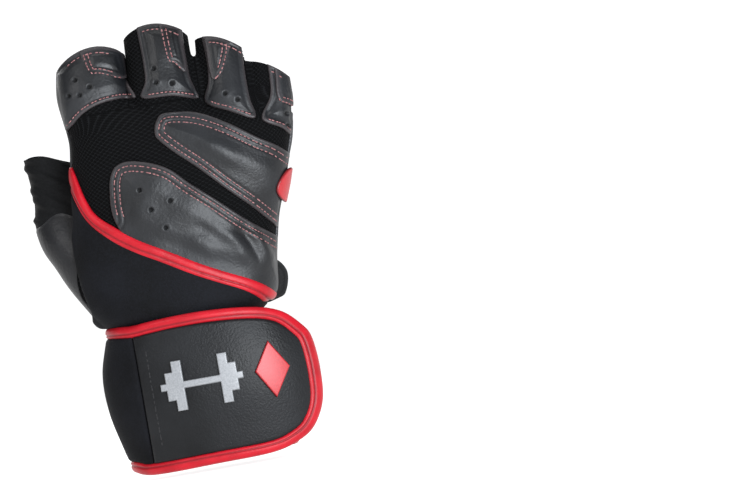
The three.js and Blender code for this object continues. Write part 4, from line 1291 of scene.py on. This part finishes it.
# Painted highlight: the strip's light grey base colour stands for glare on shiny leather. Its dark edge tone is the
# black piping.
strip_leather = hide("strip_hide_painted_glare", (0.16, 0.165, 0.175), (0.42, 0.43, 0.45), (0.008, 0.008, 0.009), 0.28, 0.25, 0.5, 1400.0)
upper_skin, upper_faces = clip(skin, form_faces, skin[:, 2] - 66.5)
thumb_top_all = (
    thumb_end[0]
    + thumb_end[5] * (upper_skin[:, 0] - thumb_end[1])
    - 0.1 * (upper_skin[:, 1] - thumb_end[3])
    - 1.2
)
thumb_top_all = np.where(upper_skin[:, 0] > -30, 100.0, thumb_top_all)
strip_source = clip(upper_skin, upper_faces, thumb_top_all - upper_skin[:, 2])


def strip_depth(places):
    away = line_distance(places[:, [0, 2]], strip_line, False)
    front = places[:, 1] - np.interp(places[:, 2], thumb_middle_z, thumb_middle_y)
    return np.minimum(STRIP_WIDTH / 2 - away, front - 1.0)


def strip_relief(places, depth):
    """Piping along both edges and a shallow hollow between."""
    return 0.5 * np.exp(-(((depth - 0.7) / 0.5) ** 2))


panel(
    "thumb_strip_leather", strip_source, None, PALM, strip_leather, ["thumb_strip"],
    rise=1.2, radius=0.6, lift=0.3, puff=0.3, puff_from=1.6, puff_to=3.3,
    depth_of=strip_depth, extra=strip_relief,
)


# Overlay of the palm: a second, glossier leather layer, embossed with sunk channels round
# each grip pad.
OVERLAY_OUTLINE = [
    (56, 88.6), (44, 80.4), (38, 71.2), (31.9, 66), (19.3, 64.9), (4.3, 66), (-3.7, 72.4),
    (-9.5, 82.7), (-12, 100), (-14, 111.5), (-20, 118), (-28, 124), (-36, 132), (-48, 146.1),
    (-56, 157.8), (-50, 161.1), (0, 161.8), (24, 157.8), (30, 155.1), (66, 143.1), (66, 120),
]
PADS = {
    "heel_pad": [
        (-1, 109.2), (10, 104.6), (25, 98.8), (33, 94.9), (36, 90.9), (33.5, 78.1),
        (26, 79.3), (19, 86.2), (11, 96.4), (3, 104.6),
    ],
    "band_pad": [
        (37, 111.5), (29, 117.2), (15.5, 124.1), (2.5, 131), (-11, 135.5), (-19, 137.9),
        (-22, 142.5), (-25.5, 150.6), (-28, 153.5), (-34.5, 151.2), (-35, 146.1),
        (-33, 134.5), (-30.5, 128.8), (-24, 127), (-12, 123), (1.5, 117.2), (17, 111.5),
        (28.5, 107), (34, 103), (37.5, 104.6),
    ],
    "notched_pad": [
        (26.5, 144.3), (43.5, 136.7), (43.5, 134.5), (32, 137.1), (32, 132.8), (44, 130),
        (45, 119.5), (18.5, 132.2),
    ],
    "crescent_pad": [
        (-12.3, 154), (-9, 143.5), (-3, 138.5), (3.6, 136.3), (11, 138.2), (16.5, 144.1),
        (18.5, 154), (10, 154), (9, 149), (4.6, 147.7), (0.5, 149.5), (-1.2, 154),
    ],
    "tab_pad": [(39, 149.1), (47, 149.1), (47, 155.8), (39, 155.8)],
    "oval_finger_pad": [(43.5, 146.5), (47.5, 147.1), (47.5, 142.5), (43.5, 141.8)],
    "oval_pad": [
        (-1, 93.3), (2, 93.4), (10, 84.6), (20, 73.3), (20, 69.3), (16, 68.7), (6, 78),
        (-1, 87.9),
    ],
}
FINGER_PADS = {
    "finger_pad_index": [
        (-34, 167.1), (-27, 165.1), (-26, 171.1), (-26, 177.7), (-31, 179.7), (-34, 176.4),
    ],
    "finger_pad_middle": [
        (-2, 167.1), (6, 165.7), (7, 172.4), (6.5, 179.7), (1, 181), (-2, 176.4),
    ],
    "finger_pad_ring": [
        (29, 159.8), (36, 158.4), (37, 164.4), (36.5, 169.7), (32, 172.4), (29, 168.4),
    ],
}
pad_lines = {name: cut_corners(rows) for name, rows in {**PADS, **FINGER_PADS}.items()}
overlay_outline = smooth_line(OVERLAY_OUTLINE, True, 6)


def overlay_depth(places):
    depth = edge_depth(places, overlay_outline, PALM)
    return np.minimum(depth, places[:, 2] - CUFF_TOP - 1.0)


def channels(places, depth):
    """Sunk channel round every pad, and a low swell on its far side."""
    flat = places[:, [0, 2]]
    relief = np.zeros(len(places))
    for name in PADS:
        away = line_distance(flat, pad_lines[name], True)
        relief -= 0.95 * np.exp(-(((away - 0.9) / 0.9) ** 2))
        relief += 0.45 * np.exp(-(((away - 3.4) / 1.3) ** 2))
    return relief


def channel_painted_shade(places):
    """How deep in a channel a place is, from 0 to 1. The hide is painted near black there, as painted shade in the
    channel.
    """
    away = [line_distance(places[:, [0, 2]], pad_lines[name], True) for name in PADS]
    return np.exp(-(((np.min(away, 0) - 0.9) / 1.1) ** 2))


grip_hide = hide("black_grip_hide", (0.007, 0.007, 0.008), (0.017, 0.0175, 0.02), (0.022, 0.022, 0.025), 0.34, 0.45, 0.4)
# The channels round the pads are painted near black through the pit mask, as painted shade.
overlay_surface = panel(
    "palm_overlay_hide", hand_source, overlay_outline, PALM, grip_hide,
    ["palm_overlay"], rise=1.4, radius=1.2, grooves=(2.4,), groove=0.3, puff=0.35,
    puff_from=3, puff_to=8, depth_of=overlay_depth, extra=channels, pit_shade_of=channel_painted_shade,
)


# Grip pads: smooth grey foam-backed patches, sunk a little in their channels
# Pad hide's edge tone: near black along each pad's edge, painted shade where the pad drops into its channel.
pad_skin = hide("grey_grip_pad", (0.075, 0.078, 0.085), (0.125, 0.13, 0.14), (0.004, 0.004, 0.005), 0.38, 0.25, 0.4, 1300.0)
for name, line in pad_lines.items():
    on_finger = name in FINGER_PADS
    panel(
        name + "_cushion", hand_source, line, PALM, pad_skin, [name],
        rise=1.1, lift=0.4 if on_finger else 1.35, radius=1.2, puff=0.35, puff_from=1.2,
        puff_to=4.0, padded=0.6,
    )


# Pull tab at the little-finger edge: stiff black webbing, folded into a loop and caught in
# the palm's seam; it is for pulling the glove off.
PULL_TAB_OUTLINE = [
    (30, 65.5), (40, 65.5), (43.3, 68.6), (45.0, 75.4), (43.2, 80.4), (39, 83.4), (30, 83.4),
]
PULL_TAB_Y = 10.6
TAB_HALF = 0.95
tab_line = smooth_line(PULL_TAB_OUTLINE, True, 6)
columns, rows = np.meshgrid(np.arange(28, 52.1, 0.5), np.arange(62, 88.1, 0.5))
flat = np.stack([columns.ravel(), np.full(columns.size, PULL_TAB_Y), rows.ravel()], 1)
wide = columns.shape[1]
corner = (np.arange(columns.shape[0] - 1)[:, None] * wide + np.arange(wide - 1)).ravel()
faces = np.vstack(
    [
        np.stack([corner, corner + wide, corner + 1], 1),
        np.stack([corner + 1, corner + wide, corner + wide + 1], 1),
    ]
)
x, half, y, deep = section_at(HAND_ROWS, flat[:, 2])
edge_x = x + half * (1 - (np.abs(PULL_TAB_Y - y) / deep) ** 2.35) ** (1 / 2.35)
keep = np.minimum(inside_distance(flat[:, [0, 2]], tab_line), flat[:, 0] - edge_x - 2.0)
data, faces = clip(np.hstack([flat, np.tile([0.0, 1.0, 0.0], (len(flat), 1))]), faces, keep)
depth = np.maximum(inside_distance(data[:, [0, 2]], tab_line), 0)
thick = TAB_HALF * (0.4 + 0.6 * rounded(depth, 0.9)) - 0.25 * np.exp(-(((depth - 2.2) / 0.5) ** 2))
bend = 0.4 * np.sin((data[:, 2] - 66) * 0.17)[:, None] * np.array([0, 1, 0])
middle = data[:, :3] + bend
points, faces = walled(middle + data[:, 3:6] * thick[:, None], middle - data[:, 3:6] * thick[:, None], faces)
tab_map = np.stack([points[:, 0], points[:, 2]], 1)
webbing, tree, shader = finish_material("black_webbing")
weave = node(tree, "ShaderNodeGroup", (-500, 0), node_tree=weave_group)
weave.inputs["Width"].default_value = 0.0016
weave.inputs["Height"].default_value = 0.0007
ramp = node(tree, "ShaderNodeValToRGB", (-200, 100))
ramp.color_ramp.elements[0].color = (0.0015, 0.0015, 0.0018, 1)
ramp.color_ramp.elements[1].color = (0.008, 0.008, 0.009, 1)
tree.links.new(weave.outputs["Thread"], ramp.inputs[0])
tree.links.new(ramp.outputs[0], shader.inputs["Base Color"])
bump = node(tree, "ShaderNodeBump", (300, -200), Strength=0.7, Distance=0.0003)
tree.links.new(weave.outputs["Thread"], bump.inputs["Height"])
tree.links.new(bump.outputs[0], shader.inputs["Normal"])
shader.inputs["Roughness"].default_value = 0.75
tab = finish_piece(
    "pull_tab_webbing", points, faces, webbing, ["pull_tab"], uv=tab_map
)
cloth_sheet(points, faces, 18, 2)


# Wrist cuff: a sleeve of the same neoprene, a little barrel shaped, with upright creases on the thumb's side; both
# ends are bound with red tape. Its lighter blue-grey copy of the neoprene carries painted light.
CUFF_ROWS = [
    (0, 1.0, 35.0, 0.0, 27.6, 0.0),
    (10.5, 1.1, 37.8, 0.0, 28.8, 0.0),
    (27.9, -0.2, 40.2, 0.0, 30.6, 0.0),
    (44.6, -1.1, 39.4, 0.0, 29.7, 0.0),
    (62, -1.5, 34.1, 0.0, 27.3, 0.0),
]
CUFF_WALL = 3.3
CUFF_POWER = 2.3


def tube_skin(rows, around, grow, low, high, step):
    """Dense side wall of a lofted tube, as data with normals, and its faces."""
    rows = np.array(rows, float)
    first, last = rows[0].copy(), rows[-1].copy()
    first[0] -= 9
    last[0] += 9
    line = fine_rows(np.vstack([first, rows, last]), 0, 24)
    heights = np.arange(low, high + step / 2, step)
    x, wide, y, deep = (np.interp(heights, line[:, 0], line[:, k]) for k in range(1, 5))
    angle = np.linspace(0, 2 * np.pi, around, endpoint=False)
    across = np.sign(np.cos(angle)) * np.abs(np.cos(angle)) ** (2 / CUFF_POWER)
    out = np.sign(np.sin(angle)) * np.abs(np.sin(angle)) ** (2 / CUFF_POWER)
    places = np.stack(
        [
            x[:, None] + across * (wide + grow)[:, None],
            y[:, None] + out * (deep + grow)[:, None],
            np.repeat(heights[:, None], around, 1),
        ],
        2,
    )
    along = np.roll(places, -1, 1) - np.roll(places, 1, 1)
    up = np.gradient(places, axis=0)
    normals = np.cross(along.reshape(-1, 3), up.reshape(-1, 3))
    a = (np.arange(len(heights) - 1)[:, None] * around + np.arange(around)).ravel()
    b = (np.arange(len(heights) - 1)[:, None] * around + (np.arange(around) + 1) % around).ravel()
    faces = np.vstack([np.stack([a, b, b + around], 1), np.stack([a, b + around, a + around], 1)])
    return np.hstack([places.reshape(-1, 3), unit(normals)]), faces


def cuff_creases(places):
    """Upright creases of the sleeve on its palm side, and a slight slackness all round."""
    x, y, z = places.T
    front = eased(y, 5, 15)
    fade = eased(z, 8, 20) * (1 - eased(z, 46, 56))
    relief = 0.3 * np.sin(x * 0.13 + 1.5) * np.sin(z * 0.11 + x * 0.05)
    for middle, depth, width, lean in [(-22, -1.3, 1.7, 0.05), (-17.6, 0.7, 1.6, 0.05), (-27, 0.5, 2.2, 0.0)]:
        line = middle + lean * (z - 32) + 0.8 * np.sin(z * 0.13)
        relief = relief + front * fade * depth * np.exp(-(((x - line) / width) ** 2))
    return relief


cuff_data, cuff_faces = tube_skin(CUFF_ROWS, 300, 0.0, 1.5, 60.5, 1.0)
relief = cuff_creases(cuff_data[:, :3])
cuff_points = cuff_data[:, :3] + cuff_data[:, 3:6] * (relief - 0.35)[:, None]
cuff_inside = cuff_data[:, :3] - cuff_data[:, 3:6] * CUFF_WALL
points, faces = walled(cuff_points, cuff_inside, cuff_faces)
cuff_obj = finish_piece("wrist_cuff_neoprene", points, faces, neoprene, ["cuff_wrap"])
cloth_sheet(cuff_data, cuff_faces, 60)


def tape_ring(name, nodes, low, high, turn, layers):
    """Red tape folded over an end of the cuff: outside face, turned edge and inside face."""
    steps = 15
    profile = []
    for k in range(steps):
        t = k / (steps - 1)
        up = low + (high - low) * t
        inner = t if turn < 0 else 1 - t
        bulge = 1.45 * (0.25 + 0.75 * float(rounded(np.array(inner), 0.3)))
        bulge = bulge * (0.35 + 0.65 * float(rounded(np.array(1 - inner), 0.25)))
        seam = math.exp(-(((inner - 0.3) * (high - low) / 0.5) ** 2))
        for extra in range(1, layers):
            seam += 0.9 * math.exp(-(((inner - 0.3 - 0.28 * extra) * (high - low) / 0.4) ** 2))
        # The third value darkens the sewn lines: partly stitching, partly painted shade in their sunk grooves.
        profile.append((bulge - 0.45 * min(seam, 1.2), up, 0.85 * min(seam, 1.0)))
    if turn > 0:
        edge, inside_end = high, low
        order = profile
    else:
        edge, inside_end = low, high
        order = profile[::-1]
    under = [
        (-CUFF_WALL - 0.9, edge - 0.4 * turn, 0.0),
        (-CUFF_WALL - 0.7, edge - 2.4 * turn, 0.0),
        (-CUFF_WALL + 0.1, inside_end + 0.8 * turn, 0.0),
        (-CUFF_WALL + 0.4, inside_end + 0.5 * turn, 0.0),
        (-CUFF_WALL + 0.4, edge - 1.7 * turn, 0.0),
        (-0.1, edge - 1.7 * turn, 0.0),
        (-0.1, inside_end + 0.2 * turn, 0.0),
    ]
    loop = order + [(0.5, edge + 0.05 * turn, 0.0), (-1.5, edge + 0.15 * turn, 0.0)] + under
    around = 240
    rows = fine_rows(np.vstack([[-9.0, *CUFF_ROWS[0][1:]], CUFF_ROWS, [71.0, *CUFF_ROWS[-1][1:]]]), 0, 24)
    angle = np.linspace(0, 2 * np.pi, around, endpoint=False)
    across = np.sign(np.cos(angle)) * np.abs(np.cos(angle)) ** (2 / CUFF_POWER)
    out = np.sign(np.sin(angle)) * np.abs(np.sin(angle)) ** (2 / CUFF_POWER)
    points, shade = [], []
    for grow, z, dark in loop:
        x, wide, y, deep = (np.interp(z, rows[:, 0], rows[:, k]) for k in range(1, 5))
        wave = 0.25 * np.sin(angle * 3 + 1.0) if layers > 1 else 0.0
        points.append(
            np.stack([x + across * (wide + grow), y + out * (deep + grow), z + wave + 0 * angle], 1)
        )
        shade += [dark] * around
    count = len(loop)
    faces = []
    for row in range(count):
        below = ((row + 1) % count) * around
        for k in range(around):
            a, b = row * around + k, row * around + (k + 1) % around
            c, d = below + (k + 1) % around, below + k
            faces.append((a, b, c))
            faces.append((a, c, d))
    faces = np.array(faces)
    if turn < 0:
        faces = faces[:, ::-1]
    points = np.vstack(points)
    obj = finish_piece(name, points, faces, red_satin, nodes, edge=shade)
    cloth_sheet(points, faces, 222, 2)


tape_ring("cuff_tape_top", ["cuff_binding_top"], 55.5, 62.1, 1, 1)
tape_ring("cuff_tape_bottom", ["cuff_binding_bottom"], -0.4, 6.5, -1, 2)


# Strap: it runs round the cuff from the thumb's side and over the back, where its rounded
# leather end stands off the cuff; its whole edge is bound with red tape.
STRAP_OUTLINE = [
    (-50.8, 1.9), (-36.9, -0.6), (-27.9, -3.0), (0, -2.5), (24.6, -1.9), (36.1, 1.1),
    (44.3, 6.8), (49.6, 17.2), (50.8, 31), (49.6, 44.8), (46.1, 51.7), (37.7, 59.8),
    (24.6, 63.9), (2, 65.7), (-24.6, 64.5), (-50.8, 59.2),
]
STRAP_SHIFT = 6.15
STRAP_OFF = 1.8
STRAP_END_Y = 4.8
STRAP_TAPE = 5.6
STRAP_SEAM = -27.06
strap_rows = [(z, x + STRAP_SHIFT, wide + STRAP_SHIFT, y, deep, 0) for z, x, wide, y, deep, _ in CUFF_ROWS]
strap_skin, strap_faces = tube_skin(strap_rows, 420, STRAP_OFF, -6.5, 69, 0.8)
strap_source = clip(strap_skin, strap_faces, 6.5 - strap_skin[:, 1])
strap_line = smooth_line(STRAP_OUTLINE, True, 8)


def strap_depth(places):
    depth = inside_distance(places[:, [0, 2]], strap_line)
    return np.minimum(depth, STRAP_END_Y - places[:, 1])


def strap_tape_depth(places):
    inside = inside_distance(places[:, [0, 2]], strap_line)
    return np.minimum(strap_depth(places), STRAP_TAPE - inside)


def strap_tape_seam(places):
    return np.abs(inside_distance(places[:, [0, 2]], strap_line) - 3.9)


tape("strap_tape", strap_source, strap_tape_depth, strap_tape_seam, 3.1, 0.15, ["strap_binding"], 200)


def strap_field_depth(places):
    inside = inside_distance(places[:, [0, 2]], strap_line) - STRAP_TAPE + 0.5
    return np.minimum(inside, STRAP_END_Y - places[:, 1])


panel(
    "strap_band_neoprene", strap_source, None, BACK, black_neoprene, ["strap_neoprene"],
    rise=2.6, radius=2.2, lift=0.15,
    depth_of=lambda places: np.minimum(strap_field_depth(places), STRAP_SEAM - 0.1 - places[:, 0]),
)
strap_hide = hide("black_strap_hide", (0.004, 0.0043, 0.005), (0.009, 0.0096, 0.011), (0.008, 0.008, 0.009), 0.44, 0.4, 0.2, 1100.0)


def strap_end_depth(places):
    return np.minimum(strap_field_depth(places), places[:, 0] - STRAP_SEAM - 0.1)


strap_surface = panel(
    "strap_end_hide", strap_source, None, BACK, strap_hide, ["strap_panel"],
    rise=2.6, radius=1.8, lift=0.15, depth_of=strap_end_depth,
)
dark_thread = cloth_finish("black_thread", (0.004, 0.004, 0.005), (0.02, 0.02, 0.022), 0.6, 3000.0, 0.4, 0.1)
end_seam = np.stack([np.full(40, STRAP_SEAM + 4.2), np.linspace(8, 54, 40)], 1)
thread_object("strap_end_seam", sew([end_seam], strap_surface, BACK), dark_thread)


# Badge of the strap: a silver-grey barbell and a red diamond in raised rubber, a plain design
BARBELL = [
    (-18, 1.6), (-15.6, 1.6), (-15.6, 6.2), (-12.3, 6.2), (-12.3, 10.9), (-7.8, 10.9),
    (-7.8, 1.6), (7.8, 1.6), (7.8, 10.9), (12.3, 10.9), (12.3, 6.2), (15.6, 6.2),
    (15.6, 1.6), (18, 1.6),
]
BARBELL_HEIGHT = 34.7
DIAMOND = [(23, 34.7), (30.3, 22.3), (37.7, 34.7), (30.3, 47.1)]
barbell = [(x, BARBELL_HEIGHT - up) for x, up in BARBELL]
barbell += [(x, BARBELL_HEIGHT + up) for x, up in BARBELL[::-1]]
silver_rubber = rubber("silver_rubber", (0.2, 0.206, 0.218), (0.26, 0.267, 0.28), 0.34)
BADGE_LIFT = 2.75
raised_mark(
    "badge_barbell_rubber", strap_source, np.array(barbell), BACK, BADGE_LIFT, 1.4,
    silver_rubber, ["badge_barbell"],
)
raised_mark(
    "badge_diamond_rubber", strap_source, np.array(DIAMOND, float), BACK, BADGE_LIFT, 1.4,
    red_rubber, ["badge_diamond"],
)


# Fastener: the hook-and-loop patch between the strap's end and the cuff
hooks, tree, shader = finish_material("hook_and_loop")
spot = node(tree, "ShaderNodeTexCoord", (-900, 0))
loops = node(tree, "ShaderNodeTexVoronoi", (-600, 0), Scale=1300.0)
tree.links.new(spot.outputs["Object"], loops.inputs["Vector"])
tones = node(tree, "ShaderNodeValToRGB", (-300, 100))
tones.color_ramp.elements[0].color = (0.02, 0.02, 0.022, 1)
tones.color_ramp.elements[1].color = (0.004, 0.004, 0.005, 1)
tree.links.new(loops.outputs["Distance"], tones.inputs[0])
tree.links.new(tones.outputs[0], shader.inputs["Base Color"])
bump = node(tree, "ShaderNodeBump", (300, -200), Strength=0.8, Distance=0.0004)
tree.links.new(loops.outputs["Distance"], bump.inputs["Height"])
tree.links.new(bump.outputs[0], shader.inputs["Normal"])
shader.inputs["Roughness"].default_value = 0.85
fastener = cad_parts["strap_fastener"]
fastener.data.materials.clear()
fastener.data.materials.append(hooks)


# Camera, floor and light: a long lens square to the back of the hand and turned a little, a
# plain pale floor that rises into a low wall all round, and soft light from large panels.
GLOVE_TURN = math.radians(10)
VIEW_DISTANCE = 2.6
FRAME_WIDTH = 0.33165
right = Vector((math.cos(GLOVE_TURN), 0, -math.sin(GLOVE_TURN)))
upward = Vector((math.sin(GLOVE_TURN), 0, math.cos(GLOVE_TURN)))
aim = right * 0.0677 + upward * 0.0927 + Vector((0, -0.004, 0))
bpy.ops.object.camera_add()
camera = bpy.context.object
camera.name = "camera"
camera.data.sensor_width = 36
camera.data.lens = 36 * VIEW_DISTANCE / FRAME_WIDTH
camera.data.clip_end = 50
place = aim - Vector((0, 1, 0)) * VIEW_DISTANCE
camera.matrix_world = Matrix(
    (
        (right.x, upward.x, 0, place.x),
        (right.y, upward.y, -1, place.y),
        (right.z, upward.z, 0, place.z),
        (0, 0, 0, 1),
    )
)
bpy.context.scene.camera = camera

DISH = [(0, 0), (600, 0), (3300, 0), (3650, 60), (3950, 230), (4150, 520), (4250, 1000)]
floor_points = [(0, 0, -5.4)]
floor_faces = []
for ring, (radius, height) in enumerate(DISH[1:]):
    for k in range(64):
        a = 2 * math.pi * k / 64
        floor_points.append((radius * math.cos(a), radius * math.sin(a), height - 5.4))
        here, after = 1 + ring * 64 + k, 1 + ring * 64 + (k + 1) % 64
        if ring:
            floor_faces.append((here - 64, here, after, after - 64))
        else:
            floor_faces.append((0, here, after))
floor = new_object("studio_floor", np.array(floor_points), floor_faces)
paper, tree, shader = finish_material("pale_paper")
shader.inputs["Base Color"].default_value = (0.45, 0.45, 0.45, 1)
shader.inputs["Roughness"].default_value = 0.9
shader.inputs["Emission Color"].default_value = (1, 1, 1, 1)
shader.inputs["Emission Strength"].default_value = 0.86
floor.data.materials.append(paper)

for name, spot, size, power, tone in [
    ("key_light", (-0.9, -1.2, 1.3), 0.7, 11, (1.0, 0.99, 0.98)),
    ("fill_light", (0.8, -1.6, 0.4), 0.8, 46, (0.9, 0.95, 1.0)),
    ("top_light", (0.1, 0.2, 1.7), 1.0, 8, (1, 1, 1)),
    ("back_light", (-0.5, 1.5, 0.9), 1.0, 9, (1, 1, 1)),
]:
    bpy.ops.object.light_add(type="AREA", location=spot)
    light = bpy.context.object
    light.name = name
    light.data.size = size
    light.data.energy = power
    light.data.color = tone
    light.rotation_euler = (Vector((0, 0, 0.1)) - Vector(spot)).to_track_quat("-Z", "Y").to_euler()
world = bpy.data.worlds.new("studio")
bpy.context.scene.world = world
world.use_nodes = True
world.node_tree.nodes["Background"].inputs[0].default_value = (0.95, 0.97, 1.0, 1)
world.node_tree.nodes["Background"].inputs[1].default_value = 0.16
bpy.context.scene.view_settings.view_transform = "Standard"
